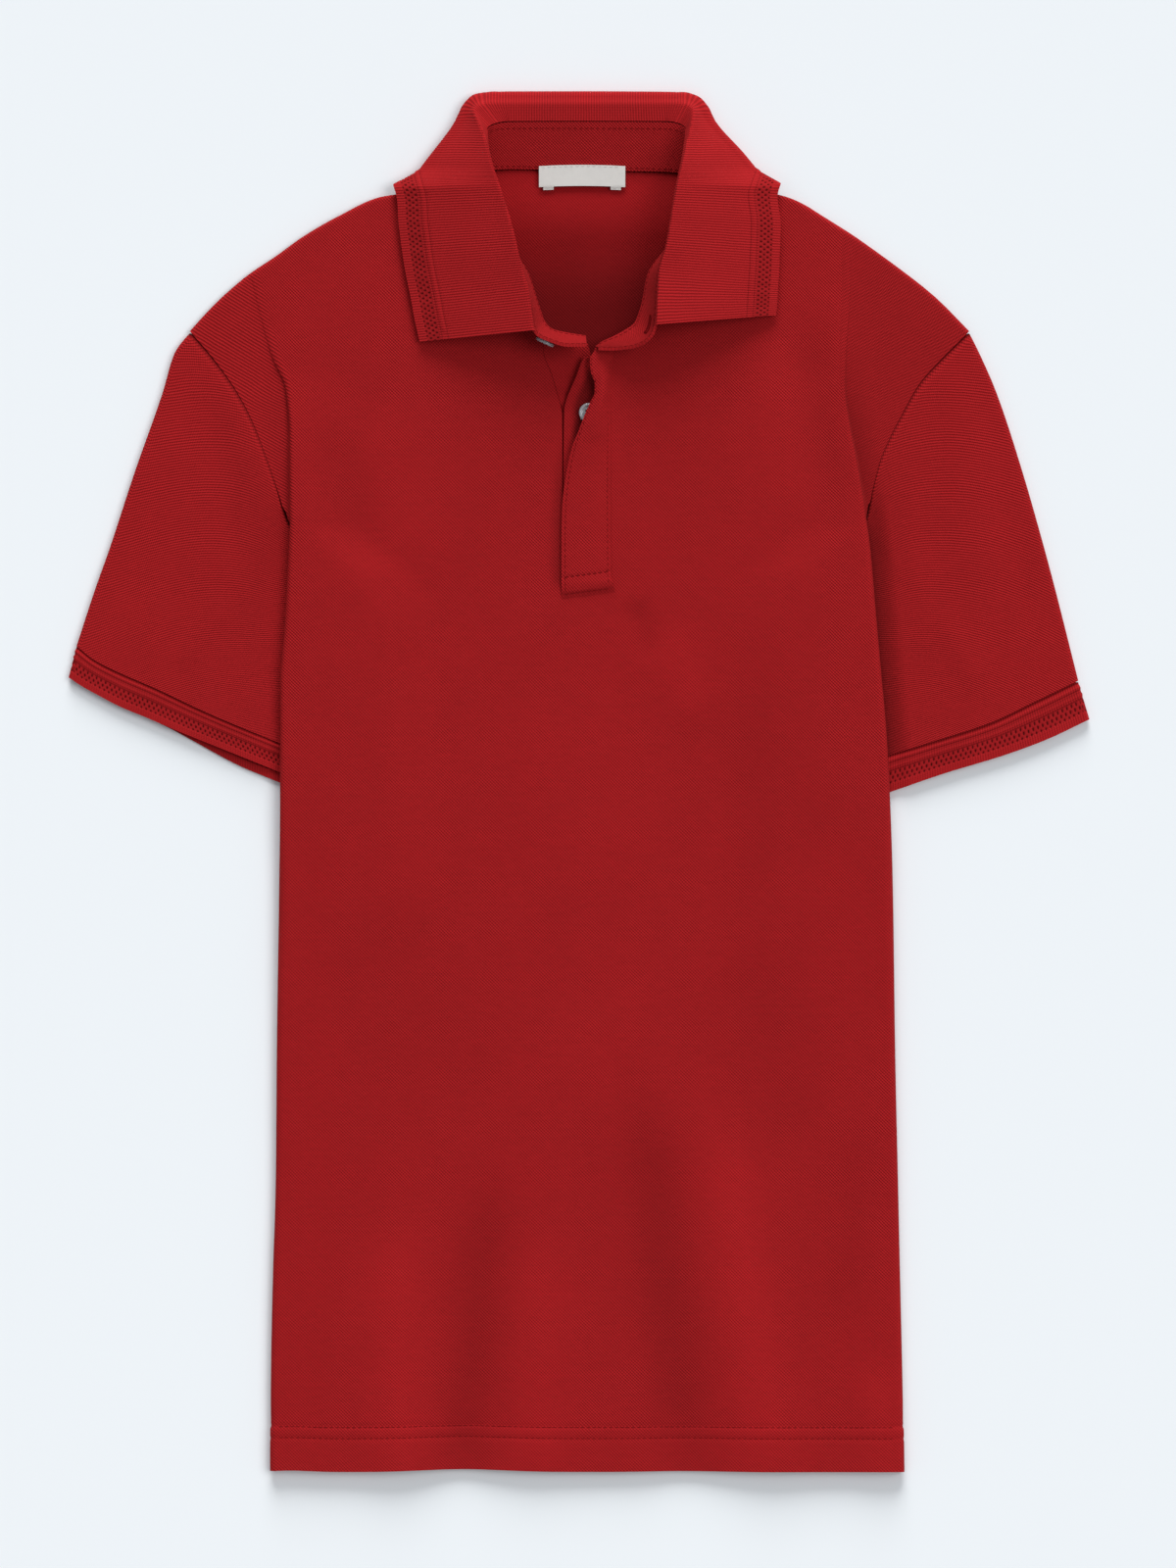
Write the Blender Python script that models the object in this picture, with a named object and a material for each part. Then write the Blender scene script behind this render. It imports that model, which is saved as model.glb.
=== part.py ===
"""A short-sleeved polo shirt laid flat on its back, face up, sides tucked under.

The frame: X to the right of the picture, Y towards the collar, Z up from the surface
that the shirt lies on. Every table below is in millimetres. The cloth is a set of
walls: each is worked out as a middle surface and given its thickness afterwards.
"""
import math

import bmesh
import bpy
import numpy as np
from mathutils import Vector

MM = 0.001
MIDDLE = (1.2, 0.4, 0.0)   # middle of the whole outline in the tables' own X and Y
SEAM_GAP = 0.3
JERSEY = 1.3          # wall of the body, sleeves and placket layers
RIB = 1.6             # wall of the knitted collar leaf
STAND_WALL = 2.0      # the collar stand is two layers
LABEL_WALL = 1.0
LAYER_GAP = 0.4
FLOOR = JERSEY / 2    # middle of a jersey wall that lies on the surface

# ---------------------------------------------------------------- outlines
SHOULDER_LEFT = [  # x, y from the neck out to the sleeve head
    (-62, 350), (-80, 342.5), (-95, 341.2), (-113.5, 338.6), (-137, 328), (-158, 316),
    (-174, 304.5), (-191, 293), (-204, 282), (-215, 271), (-224, 261)]
SHOULDER_RIGHT = [
    (72, 350), (92, 343), (107, 341.6), (119, 339.4), (130, 335), (141.5, 328), (160.5, 316),
    (177, 304.5), (192, 293), (206, 282), (217, 271), (227, 261)]
ARMHOLE_LEFT = [   # x, y from the shoulder down; the last two points are tucked under
    (-224, 261), (-211.5, 246.5), (-197.5, 227), (-188, 209), (-180, 188.5),
    (-173, 168), (-167, 150), (-147, 126.5), (-121.5, 109.5)]
ARMHOLE_RIGHT = [
    (227, 261), (209.5, 243.5), (198.5, 231), (189, 214.5), (180.5, 198),
    (175, 184.5), (171, 168), (168, 154), (148.5, 129.5), (123.5, 111.5)]
FOLD_LEFT = [      # y, x of the edge where the body's side is folded under
    (283, -181), (241, -173), (226, -167), (201, -166), (165, -166), (135, -167),
    (89, -169.5), (55, -172), (10, -172), (-12, -172), (-58, -172.5), (-160, -174),
    (-228, -174.5), (-296, -176.5), (-364, -177.5), (-400, -177.5)]
FOLD_RIGHT = [
    (283, 149.5), (274, 151), (227, 154), (205, 158), (182, 162.5), (162, 166),
    (135, 170), (101, 173), (67, 176), (27, 179.5), (-12, 181.5), (-58, 183),
    (-160, 184.5), (-228, 186), (-296, 187.5), (-364, 189), (-400, 189.5)]
SLEEVE_FOLD_LEFT = [  # x, y of the sleeve's outer edge, from the shoulder to the cuff
    (-224, 261), (-233, 249), (-240, 226), (-256, 180.5), (-271, 135), (-279, 112.5),
    (-290, 79)]
SLEEVE_FOLD_RIGHT = [
    (227, 261), (233, 249), (243, 226), (258, 180.5), (271, 135), (277, 112.5),
    (290.5, 59)]
CUFF_SEAM_LEFT = [   # x, y from the sleeve's outer edge to its tucked inner edge
    (-290, 79), (-280, 71), (-267.5, 64.5), (-243.5, 54), (-215, 40.5), (-172, 22.5),
    (-151.5, 14)]
CUFF_SEAM_RIGHT = [
    (290.5, 58.5), (266.5, 47), (240, 34.5), (203, 22.5), (180.5, 15.5), (161, 9)]
CUFF_EDGE_LEFT = [
    (-294.5, 61), (-289, 57), (-278.5, 51), (-264, 43.5), (-249.5, 37.5), (-232, 30),
    (-203.5, 18.5), (-171.5, 5.5), (-151.5, -3)]
CUFF_EDGE_RIGHT = [
    (297, 36.5), (271.5, 24.5), (247, 15.5), (212.5, 5), (182, -5.5), (160, -13)]
CUFF_BACK_DROP_LEFT = 6.0    # how far the back of the left cuff shows past its front
HEM_Y = -399.5

# Heights of the middle surfaces along the body's side: y, the front at the fold edge,
# the front's strip or flap below it, the back at the fold edge.
SIDE_LEVELS = [
    (262, 4.2, 3.7, 0.65), (241, 4.6, 3.7, 0.65), (226, 5.8, 3.7, 0.65),
    (203, 7.4, 3.7, 0.65), (170, 9.2, 3.8, 0.65), (162, 9.4, 3.9, 0.7),
    (157, 9.6, 4.0, 1.4), (150, 9.7, 4.1, 4.2), (141, 9.8, 4.1, 7.7),
    (132, 9.8, 4.1, 7.9), (-20, 9.8, 4.1, 7.9), (-62, 6.4, 0.65, 4.4),
    (-400, 6.2, 0.65, 4.35)]
FLAP_WIDTH = [     # y, cloth of the front that is folded under, measured past the turn
    (150, 0), (146, 2), (140, 8), (132, 17), (118, 32), (90, 45), (-60, 56), (-400, 60)]
BACK_TURN = [      # y, share of the back's half turn, cloth of its own flap
    (148, 0, 0.6), (124, 1, 0.6), (119, 1, 1), (96, 1, 36), (60, 1, 42), (-60, 1, 52),
    (-400, 1, 56)]
BACK_TURN_LENGTH = 3.06
BACK_ARMHOLE_INSET = 0.6
UNDERARM_INSET = 4.8    # the back stays this much further in below the armhole
BACK_LEVEL_Y = 158.0   # below this height the back's rows run straight across
NECK_CENTRE = 5.0
CENTRE_HEIGHT = [(355, 5.0), (330, 5.4), (262, 6.2), (215, 5.5), (118, 5.4), (-400, 5.2)]
SLOPE_WIDTH = 42.0
PLATEAU_MARGIN = 4.0
EDGE_DROP = 0.8         # how far the raw edge still falls where it hangs straight down
SHOULDER_ROLL = 0.018   # share of the upper rows over which the shoulder edge turns
SHOULDER_ROLL_DEPTH = 2.0
NECK_RISE = 0.125       # share of the shoulder over which its edge leaves the neck edge
BOW_FADE = 1.25         # how soon the rows below the shoulder lose its curve
FULL_TURN_RUN = 5.0     # cloth past the fold that makes the second turn complete
SOFT_TURN = 5.0         # plan width of the turn where the layers lie almost flat
LEAF_LIFT = 2.0       # the back rises over the part of the collar that lies behind it
LEAF_LIFT_BOTTOM = 325.0

# Placket seams with the two halves of the front: y, x
PLACKET_SEAM_LEFT = [(262, -20), (249.5, -19.5), (235.5, -14.5), (221.5, -10.5),
                     (215.5, -8.7), (186.5, -8.5), (118, -8.5)]
PLACKET_SEAM_RIGHT = [(258, 22.5), (226, 19), (186.5, 19.5), (118, 20)]
PLACKET_FOOT = 118.0
# cover layer: y, left x, right x, left z, middle z, right z
COVER = [
    (250.5, 10.5, 22.2, 9.6, 8.6, 6.6), (244.5, 7.5, 20.8, 10.2, 9.4, 6.2),
    (237.5, 8, 20, 10.2, 9.8, 6.0), (231, 10.3, 19.3, 9.6, 9.8, 6.0),
    (225.5, 10.3, 18.7, 9.4, 9.8, 6.0), (220.5, 8, 18.9, 9.2, 9.8, 6.0),
    (211.5, 4, 18.9, 9.0, 9.6, 6.0), (203.5, 1, 19, 8.8, 9.0, 6.0),
    (195, -2.5, 19.1, 8.4, 8.0, 6.0), (176.5, -6.6, 19.3, 7.7, 7.3, 6.0),
    (158.5, -8.6, 19.5, 7.3, 7.2, 6.0), (138.5, -9, 19.6, 7.2, 7.1, 6.0),
    (119.5, -9, 19.7, 7.2, 7.1, 6.6), (117.5, -9, 20.5, 7.2, 7.2, 7.2),
    (110.5, -8.7, 22.5, 7.2, 7.2, 7.2)]
COVER_FOOT_RISE = 5.0
# buttonhole layer under the cover
FLY = [
    (251, 8, 13.5, 7.2, 6.8, 5.2), (244.5, 3, 15.5, 7.2, 6.4, 4.4),
    (236.5, 0, 17, 6.6, 5.6, 4.2), (229, -3.2, 17.5, 5.8, 4.8, 4.2),
    (222, -6, 17.5, 5.2, 4.4, 4.2), (215.5, -7.4, 17.5, 4.6, 4.3, 4.2),
    (186.5, -7.7, 17.5, 4.3, 4.2, 4.2), (120, -7.5, 17.5, 4.2, 4.2, 4.2)]
# button side of the placket
UNDER = [
    (257, -17.8, 5.5, 5.9, 4.6, 3.4), (249.5, -19.1, 7.5, 5.8, 4.0, 2.5),
    (235.5, -14.1, 10, 5.4, 3.2, 2.4), (221.5, -10.1, 13, 4.6, 2.5, 2.4),
    (215.5, -8.2, 14, 3.2, 2.4, 2.4), (186.5, -8.1, 15.5, 2.5, 2.4, 2.4),
    (120, -8.1, 17, 2.4, 2.4, 2.4)]

# ---------------------------------------------------------------- collar
# Stations along the neck from the wearer's right front (picture left) round the back.
# n: seam with the body. s: top of the stand. All x, y, z.
STAND = [
    (5.0, 258.0, 7.2, 5.6, 252.6, 24.0), (-7.0, 260.0, 7.2, -5.0, 252.4, 26.0),
    (-14.5, 262.0, 7.2, -15.0, 255.0, 26.5), (-18.8, 266.0, 7.2, -24.0, 260.0, 26.6),
    (-22.8, 276.5, 7.2, -27.6, 276.5, 26.6), (-28.5, 294.0, 7.0, -32.0, 293.5, 26.6),
    (-38.5, 310.0, 6.8, -35.5, 307.0, 27.0), (-48.0, 325.5, 6.4, -40.5, 325.0, 26.0),
    (-55.0, 340.0, 5.8, -46.5, 343.0, 24.6), (-57.0, 349.5, 5.0, -51.0, 362.0, 20.5),
    (-51.0, 354.6, 4.2, -52.5, 377.0, 12.8), (-38.0, 355.4, 3.7, -39.0, 382.2, 9.0),
    (5.0, 354.6, 3.6, 5.0, 382.4, 8.4), (52.0, 353.8, 3.7, 51.5, 382.2, 9.0),
    (62.0, 352.6, 4.2, 63.5, 377.0, 12.8), (68.5, 347.0, 5.0, 61.5, 362.0, 20.5),
    (67.0, 338.0, 5.8, 57.5, 343.0, 24.6), (61.0, 325.5, 6.4, 54.5, 325.0, 26.0),
    (52.5, 310.0, 6.8, 52.0, 310.0, 27.0), (41.5, 294.0, 7.0, 47.6, 293.5, 26.6),
    (37.8, 276.5, 7.6, 46.4, 276.5, 26.6), (33.5, 265.5, 8.2, 45.4, 263.5, 25.5),
    (28.0, 261.5, 8.6, 41.5, 256.0, 24.0), (20.5, 257.5, 9.2, 31.0, 251.4, 19.5),
    (14.5, 254.8, 10.0, 20.0, 250.6, 15.0), (10.8, 252.0, 11.4, 12.4, 250.8, 13.2)]
# Leaf stations: roll x, y, z; x, y that the rib runs towards; width of the knit;
# share of the turn to the back
LEAF = [
    (-25.5, 261.0, 30.0, -91.2, 255.0, 68.8, 0), (-27.8, 281.0, 30.0, -92.5, 274.0, 70.5, 0),
    (-33.3, 302.5, 30.0, -96.5, 298.0, 69.5, 0), (-38.5, 324.0, 29.8, -100.5, 321.0, 67.5, 0),
    (-44.5, 343.0, 29.2, -105.0, 341.5, 63.5, 0), (-48.8, 356.0, 27.0, -106.0, 357.0, 66, 1),
    (-52.5, 370.0, 22.5, -106.0, 371.5, 66, 1), (-56.4, 381.0, 17.2, -100.0, 382.5, 66, 1),
    (-59.4, 388.4, 13.0, -88.0, 390.4, 66, 1), (-53.0, 392.7, 10.4, -53.3, 432.0, 66, 1),
    (-39.0, 393.0, 9.6, -39.0, 440.0, 66, 1), (5.0, 393.0, 9.4, 5.0, 440.0, 66, 1),
    (50.5, 393.0, 9.6, 50.5, 440.0, 66, 1), (62.0, 392.5, 10.6, 62.3, 432.0, 66, 1),
    (67.2, 388.0, 13.6, 98.0, 390.0, 66, 1), (66.5, 381.0, 17.4, 112.0, 382.5, 66, 1),
    (64.0, 370.0, 22.5, 118.0, 371.5, 66, 1), (61.0, 356.0, 27.0, 118.0, 357.0, 66, 1),
    (58.0, 343.0, 29.2, 117.0, 341.5, 61.5, 0), (55.0, 326.0, 29.8, 117.0, 323.0, 66.0, 0),
    (52.5, 310.0, 30.0, 117.5, 306.0, 68.0, 0), (47.9, 293.0, 30.0, 116.5, 289.0, 71.6, 0),
    (46.5, 264.5, 30.0, 115.5, 270.5, 71.8, 0)]
LEAF_SILHOUETTE = [   # where the leaf turns over to the back, left to right
    (-130, 319), (-102.5, 344), (-92, 353.5), (-85, 362.5), (-70, 382.5), (-64.5, 393),
    (-59, 398), (-48, 399.5), (5, 399.6), (62, 399.2), (69.5, 397), (74.5, 392),
    (79, 383.5), (95, 365.5), (103, 356), (115, 344), (142, 320)]
LEAF_EDGE_HEIGHT = 9.6
LEAF_BACK_HEIGHT = 0.8
LEAF_TURN = 3.4
LEAF_RELEASE = 8.0      # how much further out a station folds where it is not turned back

BUTTON = {"diameter": 11.4, "thick": 2.2, "rim": 1.5, "dish": 0.45, "hole": 1.7,
          "hole_circle": 3.2}
STAND_BUTTON_STATION = 2.25     # place along STAND, counted in stations
PLACKET_BUTTON = (6.8, 214.0)
LABEL = {"left": -22.0, "right": 28.0, "top": 357.6, "bottom": 345.4, "height": 5.75,
         "tab_width": 6.0, "tab_drop": 1.8, "tab_inset": 2.5}

COLOURS = {  # name: base colour, roughness
    "pique_red": ((0.31, 0.0125, 0.015, 1), 0.85),
    "rib_red": ((0.33, 0.013, 0.016, 1), 0.9),
    "label_satin": ((0.62, 0.6, 0.57, 1), 0.45),
    "button_resin": ((0.42, 0.42, 0.44, 1), 0.12),
}


# ---------------------------------------------------------------- curves
def hermite(keys, values, at):
    """Smooth interpolation through a table, without overshoot; values may be rows."""
    keys = np.asarray(keys, float)
    values = np.asarray(values, float)
    if keys[0] > keys[-1]:
        keys, values = keys[::-1], values[::-1]
    at = np.clip(np.asarray(at, float), keys[0], keys[-1])
    step = np.diff(keys)
    shape = (-1,) + (1,) * (values.ndim - 1)
    slope = np.diff(values, axis=0) / step.reshape(shape)
    same = slope[1:] * slope[:-1] > 0
    total = slope[1:] + slope[:-1]
    inner = np.where(same, 2 * slope[1:] * slope[:-1] / np.where(same, total, 1), 0)
    tangent = np.concatenate([slope[:1], inner, slope[-1:]])
    i = np.clip(np.searchsorted(keys, at, side="right") - 1, 0, len(step) - 1)
    t = (at - keys[i]) / step[i]
    if values.ndim > 1:
        t = t[..., None]
        h = step[i][..., None]
    else:
        h = step[i]
    return ((1 + 2 * t) * (1 - t) ** 2 * values[i] + t * (1 - t) ** 2 * h * tangent[i]
            + t * t * (3 - 2 * t) * values[i + 1] + t * t * (t - 1) * h * tangent[i + 1])


def column(table, key, at):
    """Column number key of a table whose first column is y."""
    rows = np.array(table, float)
    return hermite(rows[:, 0], rows[:, key], at)


class Path:
    """A smooth plan curve through points, asked by the share of its length."""

    def __init__(self, points):
        self.points = np.array(points, float)
        steps = np.linalg.norm(np.diff(self.points[:, :2], axis=0), axis=1)
        self.at = np.concatenate([[0], np.cumsum(steps)]) / steps.sum()
        self.length = steps.sum()

    def __call__(self, share):
        return hermite(self.at, self.points, share)

    def share_at_y(self, y):
        order = self.points[:, 1]
        return np.interp(-y, -order, self.at)


def smoothstep(x):
    x = np.clip(x, 0, 1)
    return x * x * (3 - 2 * x)


# ---------------------------------------------------------------- solids
def wall(name, grid, thickness, material, keep=None, ring=False):
    """A closed solid round a grid of middle-surface points, rows x columns x 3."""
    grid = np.asarray(grid, float) - MIDDLE
    rows, cols = grid.shape[:2]
    spans = cols if ring else cols - 1
    quads = [(i, j, i + 1, (j + 1) % cols) for i in range(rows - 1) for j in range(spans)
             if keep is None or keep(i, j)]
    normal = np.zeros_like(grid)
    for i, j, k, m in quads:
        corners = ((i, j), (i, m), (k, m), (k, j))
        face = np.cross(grid[k, m] - grid[i, j], grid[k, j] - grid[i, m])
        size = np.linalg.norm(face)
        if size > 0:
            for corner in corners:
                normal[corner] += face / math.sqrt(size)
    length = np.linalg.norm(normal, axis=2, keepdims=True)
    normal = normal / np.where(length > 0, length, 1)
    used = sorted({c for i, j, k, m in quads for c in ((i, j), (i, m), (k, m), (k, j))})
    mesh = bmesh.new()
    top = {c: mesh.verts.new((grid[c] + normal[c] * thickness / 2) * MM) for c in used}
    low = {c: mesh.verts.new((grid[c] - normal[c] * thickness / 2) * MM) for c in used}
    count = {}
    for i, j, k, m in quads:
        loop = ((i, j), (i, m), (k, m), (k, j))
        mesh.faces.new([top[c] for c in loop])
        mesh.faces.new([low[c] for c in reversed(loop)])
        for a, b in zip(loop, loop[1:] + loop[:1]):
            count[(a, b)] = count.get((a, b), 0) + 1
    for (a, b) in count:
        if (b, a) not in count:
            mesh.faces.new([top[b], top[a], low[a], low[b]])
    return make(name, mesh, material)


def make(name, mesh, material):
    bmesh.ops.recalc_face_normals(mesh, faces=mesh.faces)
    bmesh.ops.triangulate(mesh, faces=mesh.faces)
    data = bpy.data.meshes.new(name)
    mesh.to_mesh(data)
    mesh.free()
    data.shade_smooth()
    data.set_sharp_from_angle(angle=math.radians(50))
    data.materials.append(MATERIALS[material])
    item = bpy.data.objects.new(name, data)
    bpy.context.collection.objects.link(item)
    return item


def make_materials():
    made = {}
    for name, (colour, roughness) in COLOURS.items():
        material = bpy.data.materials.new(name)
        material.use_nodes = True
        shader = material.node_tree.nodes["Principled BSDF"]
        shader.inputs["Base Color"].default_value = colour
        shader.inputs["Roughness"].default_value = roughness
        shader.inputs["Metallic"].default_value = 0.0
        material.diffuse_color = colour
        made[name] = material
    return made


# ---------------------------------------------------------------- body
SIDES = {
    -1: {"shoulder": Path(SHOULDER_LEFT), "armhole": Path(ARMHOLE_LEFT), "fold": FOLD_LEFT,
         "placket": PLACKET_SEAM_LEFT, "crossing": 150.0, "neck": (8, 3)},
    1: {"shoulder": Path(SHOULDER_RIGHT), "armhole": Path(ARMHOLE_RIGHT),
        "fold": FOLD_RIGHT, "placket": PLACKET_SEAM_RIGHT, "crossing": 152.0,
        "neck": (16, 22)},
}


def side_height(side, x, y):
    """How much the plateau of the side raises the cloth: 1 on it, 0 in the middle."""
    fold = column(SIDES[side]["fold"], 1, y)
    inboard = side * (fold - x)
    plateau = column(FLAP_WIDTH, 1, y) + PLATEAU_MARGIN
    return 1 - smoothstep((inboard - plateau) / SLOPE_WIDTH)


def front_height(x, y):
    """Middle of the front panel over the plan, away from its side turns."""
    centre = column(CENTRE_HEIGHT, 1, y)
    level = column(SIDE_LEVELS, 1, y)
    share = np.maximum(side_height(-1, x, y), side_height(1, x, y))
    return centre + (level - centre) * share


def back_height(x, y):
    """Middle of the back panel: under the front, and on the surface where it can be."""
    share = np.maximum(side_height(-1, x, y), side_height(1, x, y))
    level = column(SIDE_LEVELS, 3, y)
    lift = (LEAF_LIFT * smoothstep((y - LEAF_LIFT_BOTTOM + 22) / 22)
            * (1 - smoothstep((abs(x - 5) - 112) / 20)))
    return np.maximum(FLOOR + lift, FLOOR + (level - FLOOR) * share ** 1.6)


def neck_edge(side, share):
    """The front's neck edge, from the shoulder to the placket, outside the stand."""
    first, last = SIDES[side]["neck"]
    step = 1 if last > first else -1
    seam = Path([STAND[i][:2] for i in range(first, last + step, step)])
    ahead, before = seam(min(share + 0.02, 1)), seam(max(share - 0.02, 0))
    along = (ahead - before) / np.linalg.norm(ahead - before)
    out = np.array([along[1], -along[0]]) * side * -1
    return seam(share) + out * (STAND_WALL / 2 + SEAM_GAP)


def inner_edge(side, tau):
    """Point of the front's inner boundary at row value tau."""
    neck_end = neck_edge(side, 1.0)
    if tau <= 1:
        return neck_edge(side, tau)
    if tau <= 3:
        y = neck_end[1] + (PLACKET_FOOT - neck_end[1]) * (tau - 1) / 2
        return np.array([float(column(SIDES[side]["placket"], 1, y)), y])
    foot = float(column(SIDES[side]["placket"], 1, PLACKET_FOOT))
    y = PLACKET_FOOT + (HEM_Y - PLACKET_FOOT) * (tau - 3)
    return np.array([foot, y])


OUTER_ROWS = [(0, 261.0), (1, 172.0), (2, 140.0), (3, 118.0), (4, HEM_Y)]   # tau, y


def row_section(side, tau):
    """What fixes one row of the front: its plan line, and the cloth past the fold."""
    data = SIDES[side]
    rows = np.array(OUTER_ROWS)
    y_out = float(np.interp(tau, rows[:, 0], rows[:, 1]))
    start = inner_edge(side, tau)
    crossing = data["crossing"]
    if y_out > crossing:
        end = np.array(data["armhole"](data["armhole"].share_at_y(y_out)))
    else:
        end = np.array([float(column(data["fold"], 1, y_out)), y_out])
    direction = (end - start) / np.linalg.norm(end - start)
    fold_y = y_out
    for _ in range(6):
        fold_x = float(column(data["fold"], 1, fold_y))
        reach = (fold_x - start[0]) / direction[0]
        fold_y = start[1] + direction[1] * reach
    strip = np.linalg.norm(end - start) - reach if y_out > crossing else 0.0
    return start, direction, reach, strip, y_out


def front_point(side, tau, kappa):
    """kappa: 0-1 main cloth, 1-2 first turn, 2-3 second turn, 3-4 strip or flap."""
    start, direction, reach, strip, y = row_section(side, tau)
    level = float(column(SIDE_LEVELS, 1, y))
    low = float(column(SIDE_LEVELS, 2, y))
    flap = float(column(FLAP_WIDTH, 1, y)) if y < SIDES[side]["crossing"] else 0.0
    run = strip if strip > 0 else -flap
    half = (level - low) / 2
    soft = max(half, SOFT_TURN * (1 - smoothstep((half - 0.8) / 1.8)))
    reach = reach - JERSEY / 2 * smoothstep(1 - run / FULL_TURN_RUN)
    edge_room = min(soft, reach * 0.5)
    turn = -math.pi / 2 * float(np.clip(run / FULL_TURN_RUN, -1, 1))
    whole = reach + max(strip, 0)
    if kappa <= 1:
        q = (reach - edge_room) * kappa
        plan = start + direction * q
        plan = plan + bow(side, tau, q / whole)
        z = float(front_height(plan[0], plan[1]))
        z = z + (level - float(front_height(*(start + direction * (reach - edge_room))))) \
            * smoothstep(kappa * 4 - 3)
        return np.array([plan[0], plan[1], z])
    first = min(kappa - 1, 1) * math.pi / 2
    q = reach - edge_room + edge_room * math.sin(first)
    z = level - half * (1 - math.cos(first))
    if kappa > 2:
        part = min(kappa - 2, 1)
        second = part * turn
        width = edge_room if turn < 0 else half
        full = max(abs(math.sin(turn)), 0.05)
        q += -math.copysign(1, turn) * width * (1 - math.cos(second)) / full
        fall = half - EDGE_DROP * math.cos(turn)
        z -= fall * (abs(math.sin(second)) / full if abs(turn) > 0.06 else part)
        if kappa > 3:
            span = max(abs(run) - (width if run > 0 else 0), 0.8)
            q += -math.sin(turn) * span * (kappa - 3)
            z -= math.cos(turn) * EDGE_DROP * (kappa - 3)
    plan = start + direction * q
    plan = plan + bow(side, tau, min(q / whole, 1))
    return np.array([plan[0], plan[1], z])


def bow(side, tau, share):
    """The shoulder line is curved: rows near it keep its bow, fading down the row.

    Beside the neck they rise from the neck edge to the shoulder line."""
    if tau >= 1:
        return np.zeros(2)
    shoulder = SIDES[side]["shoulder"]
    first, last = shoulder.points[0], shoulder.points[-1]
    chord = first + (last - first) * share
    rise = (first - neck_edge(side, 0.0)) * (1 - share) * smoothstep(share / NECK_RISE)
    return (shoulder(share) - chord + rise) * (1 - smoothstep(tau * BOW_FADE))


def roll_down(point, tau):
    """Turns the front's edge at the shoulder seam down onto the back's edge."""
    near = 1 - min(tau / SHOULDER_ROLL, 1)
    room = point[2] - float(back_height(point[0], point[1])) - JERSEY - LAYER_GAP
    depth = min(max(room, 0), SHOULDER_ROLL_DEPTH)
    point[2] -= depth * (1 - math.sqrt(1 - near * near)) if near > 0 else 0
    return point


def front_rows():
    return np.concatenate([[0, 0.006, 0.018, 0.06], np.linspace(0.15, 1, 7),
                           np.linspace(1.12, 2, 8), [2.3, 2.65, 3],
                           3 + np.array([0.05, 0.12, 0.19, 0.25, 0.29, 0.33, 0.37, 0.46,
                                         0.58, 0.72, 0.86, 1.0])])


def front_panel():
    taus = front_rows()
    main = [0, 0.1, 0.23, 0.37, 0.51, 0.64, 0.76, 0.87, 0.95, 1.0]
    kappas = main + [1.33, 1.67, 2, 2.33, 2.67, 3, 3.5, 4]
    foot_row = int(np.searchsorted(taus, 3))
    grid = []
    for tau in taus:
        left = [roll_down(front_point(-1, tau, k), tau) for k in reversed(kappas)]
        right = [roll_down(front_point(1, tau, k), tau) for k in kappas]
        grid.append(left + right)
    centre = len(kappas) - 1
    return wall("front", grid, JERSEY, "pique_red",
                keep=lambda i, j: j != centre or i >= foot_row)


def back_point(side, tau, kappa):
    """kappa: 0-1 main cloth from the centre line, 1-2 the turn, 2-3 the flap."""
    data = SIDES[side]
    centre_y = STAND[12][1] - STAND_WALL / 2 - SEAM_GAP
    if tau <= 1:
        y = 261.0 + (BACK_LEVEL_Y - 261.0) * tau
        out = np.array(data["armhole"](data["armhole"].share_at_y(y)))
        start = np.array([NECK_CENTRE, centre_y + (BACK_LEVEL_Y - centre_y) * tau])
        inset = SEAM_GAP + BACK_ARMHOLE_INSET
    else:
        y = BACK_LEVEL_Y + (HEM_Y - BACK_LEVEL_Y) * (tau - 1)
        out = np.array([float(column(data["fold"], 1, y)), y])
        start = np.array([NECK_CENTRE, y])
        near = smoothstep((BACK_LEVEL_Y - y) / 7)
        inset = (JERSEY * 1.5 + LAYER_GAP + 0.1) * near
        inset += UNDERARM_INSET * near * smoothstep((y - 122) / 14)
    level = float(column(SIDE_LEVELS, 3, y))
    angle = math.pi * float(column(BACK_TURN, 1, y)) + 1e-4
    flap = float(column(BACK_TURN, 2, y))
    direction = (out - start) / np.linalg.norm(out - start)
    radius = BACK_TURN_LENGTH / angle
    overhang = radius * math.sin(min(angle, math.pi / 2))
    reach = np.linalg.norm(out - start) - inset - overhang
    if kappa <= 1:
        plan = start + direction * reach * kappa
        if tau < 1:
            plan = plan + back_bow(side, kappa) * (1 - smoothstep(tau * 1.2))
        z = float(back_height(plan[0], plan[1]))
        z += (level - z) * smoothstep(kappa * 5 - 4) if y < BACK_LEVEL_Y + 4 else 0.0
        return np.array([plan[0], plan[1], z])
    turned = angle * min(kappa - 1, 1)
    q = reach + radius * math.sin(turned)
    z = level - radius * (1 - math.cos(turned))
    if kappa > 2:
        q += math.cos(turned) * flap * (kappa - 2)
        z -= math.sin(turned) * flap * (kappa - 2)
    plan = start + direction * q
    if tau < 1:
        plan = plan + back_bow(side, 1.0) * (1 - smoothstep(tau * 1.2))
        z = max(z, float(back_height(plan[0], plan[1])))
    return np.array([plan[0], plan[1], z])


def back_bow(side, share):
    """How far the back's top edge lies from the straight line to the sleeve head."""
    data = SIDES[side]
    first = 8 if side < 0 else 16
    step = 1 if side < 0 else -1
    edge = Path([(STAND[i][0], STAND[i][1]) for i in range(first, 12 + step, step)])
    start = np.array([NECK_CENTRE, STAND[12][1] - STAND_WALL / 2 - SEAM_GAP])
    line = start + (data["shoulder"].points[-1] - start) * share
    return back_top(side, share, edge, data["shoulder"]) - line


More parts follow.
